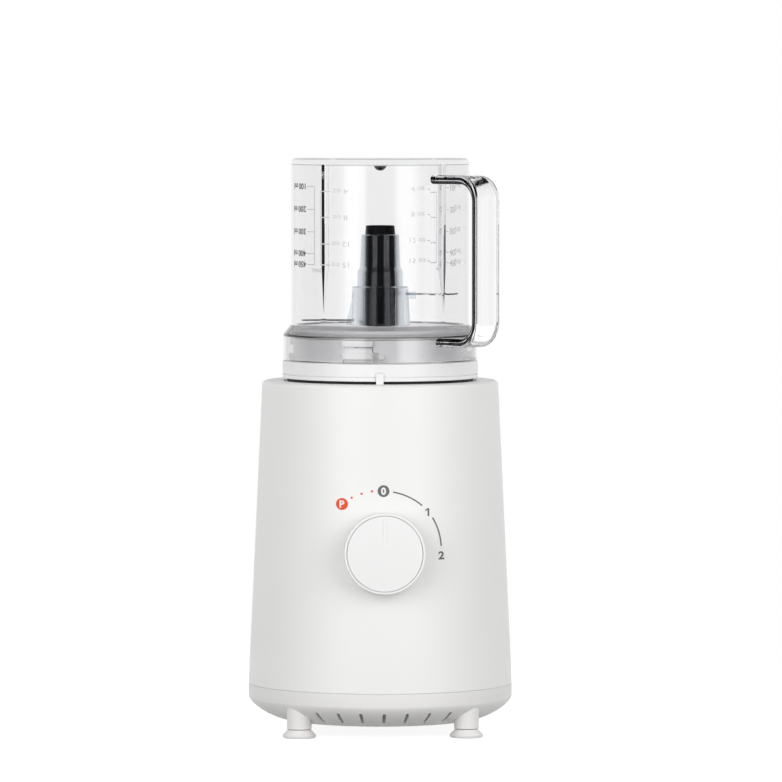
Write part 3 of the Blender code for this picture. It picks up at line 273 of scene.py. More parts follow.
# The part of a noise's range that its tones and gloss are spread over
NOISE_SPAN = (0.3, 0.7)

# Noise scales, and how strong and deep the surface grain is
MOTTLE = 26.0
GLOSS_PATCHES = 140.0
GRAIN = 9000.0
STREAKS = 900.0
POLISH_PATCHES = 60.0
FLOOR_MOTTLE = 3.0
GRAIN_STRENGTH = 0.25
STREAK_STRENGTH = 0.15
GRAIN_DEPTH = 0.00002


class Graph:
    """The nodes of a material or of the world, and short ways to add to them."""

    def __init__(self, tree):
        self.nodes = tree.nodes
        self.links = tree.links

    def feed(self, node, sockets):
        """Sets each socket, by name or number, to a value, or links another node's output to it."""
        for socket, value in sockets.items():
            if isinstance(value, bpy.types.NodeSocket):
                self.links.new(value, node.inputs[socket])
            else:
                node.inputs[socket].default_value = value

    def add(self, kind, sockets=None, **settings):
        node = self.nodes.new("ShaderNode" + kind)
        for setting, value in settings.items():
            setattr(node, setting, value)
        self.feed(node, sockets or {})
        return node

    def noise(self, scale, detail=3.0, stretch=(1.0, 1.0, 1.0)):
        """Object-space noise, a point in metres times scale."""
        coords = self.add("TexCoord").outputs["Object"]
        mapping = self.add("Mapping", {"Scale": stretch, "Vector": coords}).outputs["Vector"]
        return self.add("TexNoise", {"Scale": scale, "Detail": detail, "Vector": mapping}).outputs["Fac"]

    def ramp(self, factor, stops):
        """A colour ramp over a factor, from (position, colour) stops."""
        node = self.add("ValToRGB", {"Fac": factor})
        elements = node.color_ramp.elements
        while len(elements) < len(stops):
            elements.new(0.5)
        for element, (position, colour) in zip(elements, stops):
            element.position = position
            element.color = (*colour, 1.0)
        return node.outputs["Color"]

    def tones(self, factor, dark, light):
        """Two tones over a noise."""
        return self.ramp(factor, list(zip(NOISE_SPAN, (dark, light))))

    def map_range(self, value, start, end, low, high):
        sockets = {"Value": value, "From Min": start, "From Max": end, "To Min": low, "To Max": high}
        return self.add("MapRange", sockets).outputs["Result"]

    def spread(self, factor, low, high):
        """A value from low to high over a noise."""
        return self.map_range(factor, *NOISE_SPAN, low, high)

    def calc(self, operation, *values, clamp=False):
        """The result of a Math node on numbers and other nodes' outputs."""
        sockets = dict(enumerate(values))
        return self.add("Math", sockets, operation=operation, use_clamp=clamp).outputs["Value"]

    def bump(self, factor, strength, depth):
        sockets = {"Height": factor, "Strength": strength, "Distance": depth}
        return self.add("Bump", sockets).outputs["Normal"]

    def mix(self, share, first, second):
        """The first shader, with a share of the second."""
        return self.add("MixShader", {"Fac": share, 1: first, 2: second}).outputs["Shader"]

    def axes(self, space):
        """The X, Y and Z outputs of a texture coordinate."""
        coords = self.add("TexCoord").outputs[space]
        split = self.add("SeparateXYZ", {"Vector": coords}).outputs
        return split["X"], split["Y"], split["Z"]


def new_material(name):
    made = bpy.data.materials.new(name)
    made.use_nodes = True
    graph = Graph(made.node_tree)
    return made, graph, graph.nodes["Principled BSDF"]


def moulded(name, light, dark, rough, grain=GRAIN, depth=GRAIN_DEPTH, **sockets):
    """Moulded plastic, rubber or print: faint mottling, uneven gloss and a fine surface grain."""
    made, graph, shader = new_material(name)
    looks = {
        "Base Color": graph.tones(graph.noise(MOTTLE), dark, light),
        "Roughness": graph.spread(graph.noise(GLOSS_PATCHES), *rough),
        "Normal": graph.bump(graph.noise(grain, detail=2.0), GRAIN_STRENGTH, depth),
    }
    graph.feed(shader, {**looks, **sockets})
    return made


def metal(name, light, dark, rough, stretch):
    """Metal with a fine brushed or turned grain along one direction."""
    made, graph, shader = new_material(name)
    streaks = graph.noise(STREAKS, detail=4.0, stretch=stretch)
    looks = {
        "Base Color": graph.tones(streaks, dark, light),
        "Roughness": graph.spread(streaks, *rough),
        "Normal": graph.bump(streaks, STREAK_STRENGTH, GRAIN_DEPTH),
        "Metallic": 1.0,
    }
    graph.feed(shader, looks)
    return made


# The jar's polish, what it lets straight through, and the kinds of ray that it lets through
POLISH = (0.0, 0.015)
LETS = (0.90, 0.90, 0.905)
STRAIGHT = ("Is Shadow Ray", "Is Reflection Ray")


def clear_plastic(name, tint, bend, rough=POLISH, lets=LETS, straight=STRAIGHT):
    """Clear plastic that bends what is seen through it and lets the named kinds of ray straight through."""
    made, graph, shader = new_material(name)
    polish = graph.spread(graph.noise(POLISH_PATCHES), *rough)
    looks = {"Base Color": (*tint, 1.0), "Transmission Weight": 1.0, "IOR": bend, "Roughness": polish}
    graph.feed(shader, looks)
    through = graph.add("BsdfTransparent", {"Color": (*lets, 1.0)}).outputs["BSDF"]
    path = graph.add("LightPath").outputs
    surface = shader.outputs["BSDF"]
    for kind in straight:
        surface = graph.mix(path[kind], surface, through)
    graph.feed(graph.nodes["Material Output"], {"Surface": surface})
    return made


# The sleeve's bore: the radius, in metres, where its matt finish ends, how matt it is, and how far to
# the side the finish begins and is full
BORE_EDGE = (0.0096, 0.0104)
BORE_MATT = 0.3
BORE_SIDE = (0.0062, 0.0085)


def sleeve_plastic():
    """Clear bluish plastic, polished outside and matt on the sides of its bore."""
    tint, lets = (0.765, 0.82, 0.86), (0.88, 0.90, 0.92)
    made = clear_plastic("frosted_plastic", tint, 1.5, (0.02, 0.05), lets)
    graph = Graph(made.node_tree)
    shader = graph.nodes["Principled BSDF"]
    polish = shader.inputs["Roughness"].links[0].from_socket
    x, y, _ = graph.axes("Object")
    aside = graph.calc("SUBTRACT", y, AXIS_Y)
    away = graph.calc("ADD", graph.calc("MULTIPLY", x, x), graph.calc("MULTIPLY", aside, aside))
    bore = graph.map_range(away, BORE_EDGE[0] ** 2, BORE_EDGE[1] ** 2, BORE_MATT, 0.0)
    side = graph.map_range(graph.calc("ABSOLUTE", x), *BORE_SIDE, 0.0, 1.0)
    matt = graph.calc("MULTIPLY", bore, side)
    graph.feed(shader, {"Roughness": graph.calc("ADD", polish, matt)})
    return made


# Moulded materials and prints: light tone, dark tone and roughness, two of which are shared
SATIN = (0.28, 0.36)
INK = (0.5, 0.6)
WHITE = moulded("white_plastic", (0.885, 0.882, 0.872), (0.868, 0.866, 0.857), (0.34, 0.42))
COVER_WHITE = moulded("cover_white", (0.828, 0.822, 0.805), (0.811, 0.805, 0.789), (0.38, 0.46))
KNOB_WHITE = moulded("knob_white", (0.893, 0.889, 0.885), (0.879, 0.875, 0.871), SATIN)
# A brighter copy of the knob's white that paints a highlight on the pointer's top.
POINTER_HIGHLIGHT_WHITE = moulded("pointer_highlight_white", (0.925, 0.925, 0.925), (0.912, 0.912, 0.912), SATIN)
HOLDER_WHITE = moulded("holder_white", (0.862, 0.855, 0.856), (0.845, 0.839, 0.840), (0.30, 0.38))
# A darker, glossier copy of the holder's white that paints shade on the drum under the jar's skirt.
DRUM_SHADE_WHITE = moulded("drum_shade_white", (0.815, 0.809, 0.814), (0.797, 0.791, 0.796), (0.14, 0.20))
FOOT = moulded(
    "foot_rubber", (0.850, 0.828, 0.820), (0.828, 0.806, 0.798), (0.5, 0.62), grain=5000.0, depth=0.00004
)
BLACK_RUBBER = moulded("black_rubber", (0.022, 0.022, 0.022), (0.012, 0.012, 0.012), (0.5, 0.65))
CORE_BLACK = moulded(
    "core_black", (0.006, 0.006, 0.007), (0.003, 0.003, 0.004), (0.40, 0.50), **{"Specular IOR Level": 0.12}
)
SILICONE = moulded(
    "silicone", (0.80, 0.80, 0.79), (0.74, 0.74, 0.73), (0.4, 0.5),
    **{"Transmission Weight": 0.2, "IOR": 1.41},
)
GREY_PLASTIC = moulded("grey_plastic", (0.30, 0.30, 0.315), (0.25, 0.25, 0.265), (0.42, 0.5))
CARBON = moulded("carbon", (0.055, 0.055, 0.055), (0.03, 0.03, 0.03), (0.6, 0.75))
PRINT_GREY = moulded("print_grey", (0.17, 0.17, 0.175), (0.13, 0.13, 0.135), INK)
PRINT_MID = moulded("print_mid", (0.50, 0.50, 0.51), (0.45, 0.45, 0.46), INK)
PRINT_PALE = moulded("print_pale", (0.66, 0.66, 0.67), (0.61, 0.61, 0.62), INK)
# The back scales' ink: the same print as the front's, painted nearly white for the light that reaches it
# inside the jar.
PRINT_BACKLIT = moulded("print_backlit", (0.92, 0.92, 0.92), (0.88, 0.88, 0.88), INK, Alpha=0.5)
PRINT_RED = moulded("print_red", (0.83, 0.095, 0.028), (0.78, 0.080, 0.022), INK)
PRINT_WHITE = moulded("print_white", (0.89, 0.88, 0.87), (0.86, 0.85, 0.84), INK)

# Metals: light tone, dark tone, roughness and how the grain's noise is stretched
STEEL = metal("steel", (0.68, 0.68, 0.70), (0.52, 0.52, 0.54), (0.18, 0.30), (1.0, 12.0, 1.0))
LAMINATION = metal("lamination", (0.40, 0.41, 0.43), (0.22, 0.23, 0.25), (0.4, 0.55), (0.2, 0.2, 30.0))
COPPER = metal("copper", (0.78, 0.42, 0.24), (0.55, 0.26, 0.13), (0.28, 0.42), (1.0, 1.0, 9.0))
BRASS = metal("brass", (0.74, 0.58, 0.31), (0.60, 0.45, 0.22), (0.28, 0.4), (1.0, 1.0, 9.0))

# Clear plastics: tint and index of refraction; the grey and black tints on parts of the jar paint shade
FROSTED = sleeve_plastic()
CLEAR = clear_plastic("clear_plastic", (0.985, 0.984, 0.988), 1.46)
# Grey tint that paints shade on the jar's closed end and the gate's top.
RIM_SHADE_CLEAR = clear_plastic("rim_shade_plastic", (0.88, 0.88, 0.89), 1.18)
# Near-black tint that paints the dark shade seen in the jar handle's edges and the gate.
EDGE_SHADE_CLEAR = clear_plastic("edge_shade_plastic", (0.001, 0.001, 0.0012), 1.53, lets=(0.5, 0.5, 0.505))
# Grey tint that paints shade on the jar's shoulder and the skirt's foot.
SHOULDER_SHADE_CLEAR = clear_plastic("shoulder_shade_plastic", (0.60, 0.60, 0.62), 1.46)
# Dark tint that paints a shaded line round the jar's shoulder.
LINE_SHADE_CLEAR = clear_plastic("line_shade_plastic", (0.12, 0.12, 0.125), 1.46)
SKIRT_CLEAR = clear_plastic("skirt_plastic", (0.97, 0.97, 0.975), 1.75)
# Grey tint that paints shade on one of the jar's ribs.
RIB_SHADE_CLEAR = clear_plastic("rib_shade_plastic", (0.80, 0.80, 0.81), 1.24)
HANDLE_CLEAR = clear_plastic("handle_plastic", (0.985, 0.984, 0.988), 1.53, straight=("Is Shadow Ray",))

NODE_MATERIALS = {
    "steel": STEEL,
    "lamination": LAMINATION,
    "copper": COPPER,
    "brass": BRASS,
    "carbon": CARBON,
    "grey_plastic": GREY_PLASTIC,
    "black_gloss": CORE_BLACK,
    "black_rubber": BLACK_RUBBER,
    "silicone": SILICONE,
    "white_body": WHITE,
    "foot_rubber": FOOT,
    "frosted": FROSTED,
    "clear": CLEAR,
}


def dress_cad_nodes():
    """Gives each CAD node the material of its slot."""
    for part in frame["record"]["subparts"]:
        node = frame["nodes"][part["node"]]
        node.data.materials.clear()
        node.data.materials.append(NODE_MATERIALS[part["material_slot"]])


# Base: profiles are closed outlines of (radius, z, corner radius)

PLUNGER_SPOT = polar(48.7, 60.0)
PLUNGER_HOLE_R = 2.5
PLUNGER_HOLE_Z = (165.0, 180.0)
GLAND_HOLE_R = 5.5
SWITCH_HOLE_R = 5.3
WALL_CUT = (-8.0, 8.0)


def make_housing():
    """The tapered shell with its deck and socket well, and holes for the plunger, gland and switch."""
    profile = rounded([
        (51.5, 203.0, 0.8), (55.3, 203.0, 0.2), (56.2, 203.5, 0.3), (68.48, 203.5, 2.6),
        (76.6, 27.5, 0.3), (74.1, 27.5, 0.3), (66.1, 200.5, 1.5), (53.5, 200.5, 0.8),
        (53.5, 172.0, 0.8), (5.5, 172.0, 0.3), (5.5, 174.5, 0.3), (51.5, 174.5, 1.5),
    ])
    shell = lathe(profile)
    plunger = prism(circle(PLUNGER_HOLE_R, steps=24, at=PLUNGER_SPOT), *PLUNGER_HOLE_Z)
    gland = moved(prism(circle(GLAND_HOLE_R), *WALL_CUT), BASE.inverted() @ INLET)
    spindle = moved(prism(circle(SWITCH_HOLE_R), *WALL_CUT), BASE.inverted() @ DIAL)
    shell = combine(shell, [plunger, gland, spindle], "DIFFERENCE")
    piece("housing_shell", shell, BASE, WHITE, "base", ["housing"])


# The cover's rounded lower edge bulges out from this radius and down from this height
BULGE_R = 55.0
BULGE_TOP = 19.9
BULGE_REACH = 21.6
BULGE_DROP = 13.1
BULGE_POWER = 2 / 1.46


def bulge(steps=14):
    """The rounded lower edge of the bottom cover, from its side down to its underside."""
    points = []
    for k in range(steps + 1):
        t = math.pi / 2 * k / steps
        across = max(math.cos(t), 0.0) ** BULGE_POWER
        down = math.sin(t) ** BULGE_POWER
        points.append((BULGE_R + BULGE_REACH * across, BULGE_TOP - BULGE_DROP * down))
    return points


LEG_SPOTS = [polar(68.0, a) for a in (50.0, 130.0, 225.0, 315.0)]
LEG_R = 7.1
LEG_Z = (5.0, 26.8)
LEG_SOCKET_R = 4.2
LEG_SOCKET_TOP = 13.7
VENT_IN, VENT_OUT = 62.6, 73.8
VENT_HALF = 0.9
VENT_ROUND = 0.5
VENT_COUNT = 7
VENT_STEP = 10.5
VENT_SIDES = (-90.0, 90.0)


def make_cover():
    """The bottom cover with its four legs, the feet's sockets, and vent slots at front and back."""
    rim = [(76.35, 27.4), (76.6, 27.15)]
    inner = [(0.0, 6.8), (0.0, 9.3), (55.0, 9.3), (58.0, 12.0), (60.5, 17.0), (72.0, 20.0), (74.1, 27.4)]
    cover = lathe(rim + bulge() + inner)
    low, high = LEG_Z
    leg = rounded([(0.0, high, 0), (LEG_R, high, 0.5), (LEG_R, low, 0.6), (0.0, low, 0)])
    legs = [moved(lathe(leg, PEG), Matrix.Translation((*spot, 0.0))) for spot in LEG_SPOTS]
    cover = combine(cover, legs, "UNION")
    sockets = [prism(circle(LEG_SOCKET_R, steps=32, at=spot), 0.0, LEG_SOCKET_TOP) for spot in LEG_SPOTS]
    vent = box_outline(VENT_IN, -VENT_HALF, VENT_OUT, VENT_HALF, VENT_ROUND)
    slots = []
    for side in VENT_SIDES:
        for k in range(VENT_COUNT):
            turn = spin(side + VENT_STEP * (k - VENT_COUNT // 2))
            slots.append(moved(prism(vent, 0.0, BULGE_TOP), turn))
    cover = combine(cover, sockets + slots, "DIFFERENCE")
    piece("cover_shell", cover, BASE, COVER_WHITE, "base", ["bottom_cover"])


FOOT_NAMES = ("foot_rear_right", "foot_rear_left", "foot_front_left", "foot_front_right")


def make_feet():
    """Suction feet, each with a plug in its leg and a hollow below."""
    profile = rounded([
        (0.0, 9.2, 0), (3.9, 9.2, 0.5), (3.9, 4.7, 0.2), (6.9, 4.7, 0.3), (7.0, 4.1, 0.3),
        (9.7, 1.5, 0.6), (9.2, 0.0, 0.4), (8.0, 0.0, 0.3), (4.2, 2.2, 1.0), (0.0, 2.2, 0),
    ])
    for name, spot in zip(FOOT_NAMES, LEG_SPOTS):
        place = upright(0.0, (*spot, 0.0))
        piece(name + "_cup", lathe(profile, CUP), place, FOOT, "base", [name])


def make_socket_ring():
    """A black ring in the dark gap under the blade unit's collar."""
    profile = rounded([
        (50.0, 206.0, 0.5), (54.1, 206.0, 0.6), (54.1, 203.3, 0.3), (51.2, 203.3, 0.2),
        (51.2, 196.0, 0.3), (50.0, 196.0, 0.3),
    ], COARSE_ARC)
    piece("collar_gap_ring", lathe(profile), BASE, BLACK_RUBBER, "base", ["socket_ring"])


def make_gland():
    """The cord's bush, clipped into the wall at the back."""
    profile = rounded([
        (3.6, 1.3, 0.3), (7.0, 1.3, 0.5), (7.0, 0.3, 0.1), (5.2, 0.3, 0.1), (5.2, -3.5, 0.1),
        (7.0, -3.5, 0.1), (7.0, -4.5, 0.3), (3.6, -4.5, 0.3),
    ], COARSE_ARC)
    piece("gland_bush", lathe(profile, CUP), INLET, GREY_PLASTIC, "base", ["cord_gland"])


# The raised pointer on the knob's face: its half width, ends, corners, foot and top, and how far below
# the top its face is told from the rest, which gets a painted highlight
POINTER_HALF = 0.85
POINTER_ENDS = (3.1, 19.6)
POINTER_ROUND = 0.7
POINTER_FOOT = 12.9
POINTER_TOP = 13.65
POINTER_SKIN = 0.1


def make_knob():
    """The knob with a fine groove round its face and a raised pointer."""
    profile = rounded([
        (0.0, 13.25, 0), (21.48, 13.25, 0.1), (21.48, 11.4, 0.05), (21.78, 11.4, 0.05),
        (21.78, 13.3, 0.1), (23.15, 13.15, 0.5), (23.2, 1.2, 0.3), (20.2, 1.2, 0.2),
        (19.6, 10.7, 0.5), (6.2, 10.7, 0.3), (6.2, 3.7, 0.2), (3.2, 3.7, 0.2), (3.2, 10.6, 0.1),
        (0.0, 10.6, 0),
    ], COARSE_ARC)
    low, high = POINTER_ENDS
    outline = box_outline(-POINTER_HALF, low, POINTER_HALF, high, POINTER_ROUND, steps=5)
    knob = combine(lathe(profile), [prism(outline, POINTER_FOOT, POINTER_TOP)], "UNION")
    made = piece("knob_cap", knob, DIAL, KNOB_WHITE, "knob", ["knob"])

    def pointer_top_highlight(at):
        return POINTER_HIGHLIGHT_WHITE if at.z > POINTER_TOP - POINTER_SKIN else None

    # Paints a highlight on the pointer's top face with the brighter white.
    refinish(made, DIAL.inverted(), (POINTER_HIGHLIGHT_WHITE,), pointer_top_highlight)


# Printed marks: thin solids, a little above the surface that they are printed on

PRINT_LIFT = 0.03
PRINT_THICK = 0.03
OVERPRINT_LIFT = 0.08


def print_solid(outline_faces, lay):
    """A thin closed solid from flat faces, laid on a surface by lay(x, y, height)."""
    bm = bmesh.new()
    flat = {}

    def key(x, y):
        return (round(x, 5), round(y, 5))

    def vert(x, y, top):
        spot = (*key(x, y), top)
        if spot not in flat:
            flat[spot] = bm.verts.new(lay(x, y, PRINT_THICK if top else 0.0))
        return flat[spot]

    edges = {}
    for face in outline_faces:
        for top in (True, False):
            loop = [vert(x, y, top) for x, y in face]
            bm.faces.new(loop if top else loop[::-1])
        for a, b in zip(face, face[1:] + face[:1]):
            edges[key(*a), key(*b)] = True
    for a, b in edges:
        if (b, a) not in edges:
            bm.faces.new((vert(*a, True), vert(*a, False), vert(*b, False), vert(*b, True)))
    return bm


def disc_faces(radius, at, steps=48):
    rim = circle(radius, steps, at)
    return [[at, rim[k], rim[(k + 1) % steps]] for k in range(steps)]


def arc_faces(start, end, radius, width, steps=28):
    """A curved stroke between two points, bulging up and to the right."""
    first, last = Vector(start), Vector(end)
    chord = last - first
    away = Vector((-chord.y, chord.x)).normalized()
    centre = (first + last) / 2 - away * math.sqrt(radius ** 2 - (chord.length / 2) ** 2)
    begin = math.atan2(first.y - centre.y, first.x - centre.x)
    finish = math.atan2(last.y - centre.y, last.x - centre.x)
    turns = [begin + (finish - begin) * k / steps for k in range(steps + 1)]
    out = [tuple(centre + Vector((math.cos(t), math.sin(t))) * (radius + width / 2)) for t in turns]
    into = [tuple(centre + Vector((math.cos(t), math.sin(t))) * (radius - width / 2)) for t in turns]
    return [[out[k], into[k], into[k + 1], out[k + 1]] for k in range(steps)]


def bar_faces(x0, y0, x1, y1, parts=1):
    """A straight stroke, cut into parts so that it can bend round."""
    faces = []
    for k in range(parts):
        a = x0 + (x1 - x0) * k / parts
        b = x0 + (x1 - x0) * (k + 1) / parts
        faces.append([(a, y0), (b, y0), (b, y1), (a, y1)])
    return faces


def text_faces(words, height, at, turned=False, weight=0.0, wide=1.0):
    """Faces of a line of text, centred at a point and turned upside down if asked."""
    curve = bpy.data.curves.new("words", "FONT")
    curve.body = words
    curve.size = 1.0
    curve.align_x = "CENTER"
    curve.offset = weight
    curve.resolution_u = 4
    holder = new_object("words", curve)
    graph = bpy.context.evaluated_depsgraph_get()
    mesh = holder.evaluated_get(graph).to_mesh()
    spots = [(v.co.x, v.co.y) for v in mesh.vertices]
    xs, ys = zip(*spots)
    middle_x, middle_y = (max(xs) + min(xs)) / 2, (max(ys) + min(ys)) / 2
    size = height / (max(ys) - min(ys)) * (-1.0 if turned else 1.0)
    points = [(at[0] + (x - middle_x) * size * wide, at[1] + (y - middle_y) * size) for x, y in spots]
    faces = [[points[i] for i in p.vertices] for p in mesh.polygons]
    bpy.data.objects.remove(holder)
    bpy.data.curves.remove(curve)
    return faces


def one_faces(height, at):
    """A figure one with a short flag."""
    x, y = at
    low, high, stroke = y - height / 2, y + height / 2, height * 0.22
    reach = x - stroke * 1.3
    stem = [(x, low), (x + stroke, low), (x + stroke, high), (x, high)]
    flag = [(x, high), (reach, high - stroke * 0.8), (reach, high - stroke * 1.7), (x, high - stroke)]
    return [stem, flag]


def lay_on_wall(lift):
    """Lays (x, y), as seen from the front about the dial's centre, on the tapered wall, lift above it."""

    def lay(x, y, height):
        z = KNOB_Z + y
        r = wall_radius(z)
        a = math.asin(x / r)
        out = r + lift + height
        return Vector((out * math.sin(a), -out * math.cos(a), z))

    return lay


def lay_on_jar(middle):
    """Lays (x, y) on the jar's wall, x along it from an angle in degrees and y up."""

    def lay(x, y, height):
        a = math.radians(middle) + x / JAR_R
        out = JAR_R + PRINT_LIFT + height
        return Vector((out * math.cos(a), out * math.sin(a), y))

    return lay


# The dial's marks, in (x, y) from the knob's centre
PULSE = (-23.95, 27.95)
PULSE_R = 3.42
OFF = (-0.35, 35.5)
OFF_R = 3.38
ONE = (24.9, 23.2)
TWO = (32.9, -1.7)
DOTS = ((-18.45, 31.65), (-12.8, 34.0), (-6.9, 35.4))
DOT_R = 0.68
ARC_R = 35.3
ARC_W = 0.8
FIRST_ARC = ((5.1, 34.95), (21.8, 27.0))
SECOND_ARC = ((27.8, 20.0), (32.8, 3.6))


def make_dial_marks():
    """The pulse and off discs, the dots and arcs between the positions, and their figures."""
    wall = lay_on_wall(PRINT_LIFT)
    over = lay_on_wall(OVERPRINT_LIFT)

    def mark(name, faces, material, lay=wall):
        piece(name, print_solid(faces, lay), BASE, material, "base")

    mark("mark_pulse_disc", disc_faces(PULSE_R, PULSE), PRINT_RED)
    mark("mark_pulse_letter", text_faces("P", height=4.2, at=PULSE, weight=0.035), PRINT_WHITE, over)
    for k, spot in enumerate(DOTS, 1):
        mark(f"mark_dot_{k}", disc_faces(DOT_R, spot, steps=20), PRINT_RED)
    mark("mark_off_disc", disc_faces(OFF_R, OFF), PRINT_GREY)
    mark("mark_off_digit", text_faces("0", height=4.3, at=OFF, weight=0.045), PRINT_WHITE, over)
    mark("mark_arc_1", arc_faces(*FIRST_ARC, ARC_R, ARC_W), PRINT_GREY)
    mark("mark_arc_2", arc_faces(*SECOND_ARC, ARC_R, ARC_W), PRINT_GREY)
    mark("mark_one", one_faces(height=4.5, at=ONE), PRINT_GREY)
    mark("mark_two", text_faces("2", height=4.7, at=TWO, weight=0.035, wide=1.12), PRINT_GREY)


# Blade unit

# Bayonet lugs on the holder's drum: each has blocks and cuts, at angles from the lug's own
LUG_ANGLES = (-100.0, -10.0, 80.0, 170.0)
LUG_IN, LUG_OUT = 49.8, 53.4
LUG_BLOCKS = (
    # low, high, start, end, steps, slant
    (224.8, 228.4, -13.6, 5.5, 12, 0.0),
    (217.6, 221.2, -13.4, 5.7, 12, -1.8),
    (217.6, 220.6, 9.4, 12.4, 4, 0.0),
)
LUG_CUT_OUT = 52.0
LUG_CUTS = (
    # inner, low, high, start, end, steps
    (48.6, 224.2, 224.8, -6.0, 5.5, 12),
    (48.6, 221.4, 224.8, 5.1, 5.7, 2),
    (48.0, 220.4, 225.0, -14.2, -13.6, 2),
    (48.6, 215.4, 221.6, 5.9, 9.2, 4),
)

# Guide ramps between the lugs: their angles, radius, foot, how they climb per degree to their top, and
# how much higher they are at the drum
RAMP_TURNS = (31.0, 77.0)
RAMP_R = 50.95
RAMP_FOOT = 215.5
RAMP_START = 216.6
RAMP_CLIMB = 0.43
RAMP_TOP = 228.4
RAMP_TILT = 0.05


def ramp_block(start, end, steps=24):
    """A guide ramp on the holder's drum that climbs to the next lug."""
    rings = []
    for k in range(steps + 1):
        turn = start + (end - start) * k / steps
        high = min(RAMP_TOP, RAMP_START + RAMP_CLIMB * (turn - start))
        section = [(LUG_IN, RAMP_FOOT), (RAMP_R, RAMP_FOOT), (RAMP_R, high), (LUG_IN, high + RAMP_TILT)]
        rings.append([(*polar(r, turn), z) for r, z in section])
    return loft(rings)


# The collar's index tab and the gap round it: outlines of (x, z, corner radius), and how far out they lie
TAB = [(-2.1, 203.4, 0.3), (2.1, 203.4, 0.3), (2.3, 209.8, 1.1), (-2.3, 209.8, 1.1)]
TAB_OUT = (55.0, 57.3)
TAB_GAP = [(-2.7, 203.0, 0.3), (2.7, 203.0, 0.3), (2.7, 210.2, 1.4), (-2.7, 210.2, 1.4)]
TAB_GAP_OUT = (56.2, 58.0)

# The drum's surface between the collar and the floor, which gets the darker white as painted shade
DRUM_Z = (215.1, 228.6)
DRUM_REACH = (50.0, 51.1)


def drum_painted_shade(at):
    """The darker white that paints shade on the drum, for a point on its surface."""
    on_drum = DRUM_REACH[0] < math.hypot(at.x, at.y) < DRUM_REACH[1]
    return DRUM_SHADE_WHITE if on_drum and DRUM_Z[0] < at.z < DRUM_Z[1] else None


def make_holder():
    """The blade holder: collar with its groove and index tab, drum with lugs and ramps, hub and spigot."""
    profile = rounded([
        (7.3, 234.6, 0.2), (9.3, 234.6, 0.5), (9.3, 233.0, 0.6), (48.6, 233.0, 0.4),
        (48.6, 228.5, 0.3), (50.6, 228.5, 0.3), (50.6, 215.0, 0.4), (56.7, 215.0, 0.7),
        (56.7, 207.65, 0.06), (55.9, 207.6, 0.04), (55.9, 207.1, 0.04), (56.7, 207.05, 0.06),
        (56.7, 205.0, 0.5), (54.4, 205.0, 0.3), (54.4, 212.7, 0.3), (49.7, 212.7, 0.3),
        (49.7, 186.0, 0.4), (47.7, 186.0, 0.4), (47.7, 230.5, 0.8), (9.3, 230.5, 0.8),
        (9.3, 204.0, 0.4), (5.3, 204.0, 0.2), (5.3, 232.5, 0.1), (7.3, 232.5, 0.1),
    ], COARSE_ARC)
    lugs = []
    cuts = []
    for a in LUG_ANGLES:
        for low, high, start, end, steps, slant in LUG_BLOCKS:
            lugs.append(sector(LUG_IN, LUG_OUT, low, high, a + start, a + end, steps, slant=slant))
        lugs.append(ramp_block(a + RAMP_TURNS[0], a + RAMP_TURNS[1]))
        for inner, low, high, start, end, steps in LUG_CUTS:
            cuts.append(sector(inner, LUG_CUT_OUT, low, high, a + start, a + end, steps, round_by=0.0))
    cuts.append(moved(prism(rounded(TAB_GAP), *TAB_GAP_OUT), TO_FRONT))
    tab = moved(prism(rounded(TAB), *TAB_OUT), TO_FRONT)
    holder = combine(lathe(profile), cuts, "DIFFERENCE")
    holder = combine(holder, lugs + [tab], "UNION")
    made = piece("holder_shell", holder, UNIT, HOLDER_WHITE, "unit", ["blade_holder"])
    # Paints shade on the drum with the darker white.
    refinish(made, UNIT.inverted(), (DRUM_SHADE_WHITE,), drum_painted_shade)


# The thin notch in the core's top
NOTCH = (3.5, -9.5, 4.1, -2.0)
NOTCH_Z = (288.6, 300.0)


def make_core():
    """The black spindle with its narrow collar and notched top."""
    profile = rounded([
        (0.0, 292.8, 0), (6.4, 292.8, 0.3), (6.8, 293.3, 0.3), (8.3, 293.3, 0.7), (8.7, 288.4, 0.4),
        (8.8, 255.4, 0.2), (9.0, 255.0, 0.2), (9.0, 252.6, 0.2), (8.8, 252.2, 0.2),
        (8.8, 235.2, 0.4), (3.3, 235.2, 0.1), (3.3, 250.5, 0.1), (0.0, 250.5, 0),
    ], COARSE_ARC)
    core = combine(lathe(profile, ROUND), [prism(box_outline(*NOTCH), *NOTCH_Z)], "DIFFERENCE")
    piece("core_spindle", core, UNIT, CORE_BLACK, "blades", ["spindle_core"])


# The two blades: name, direction in degrees and height
BLADES = (("upper_blade", 0.0, 253.6), ("lower_blade", 180.0, 238.4))
BLADE_ROOT = 13.2
BLADE_HEEL = 20.5
BLADE_LENGTH = 25.0
BLADE_HALF = 3.2
BLADE_BOW = 4.6
BLADE_SWEEP = 6.4
BLADE_STEPS = 24
BLADE_HALF_THICK = 0.4

# The carrier's arm and sloping fin, which hold the blades, and the slots for these
ARM = [(12.0, -4.5, 0), (20.6, -4.5, 1.0), (20.6, 4.5, 1.0), (12.0, 4.5, 0)]
ARM_Z = (250.9, 254.7)
FIN = [(12.0, 235.6, 0), (19.8, 235.6, 0.4), (16.6, 250.5, 0.8), (12.0, 250.5, 0)]
FIN_SIDES = (-4.5, 4.5)
BLADE_SLOT = (13.0, -3.5, 41.0, 3.5)
BLADE_SLOT_HALF = 0.7


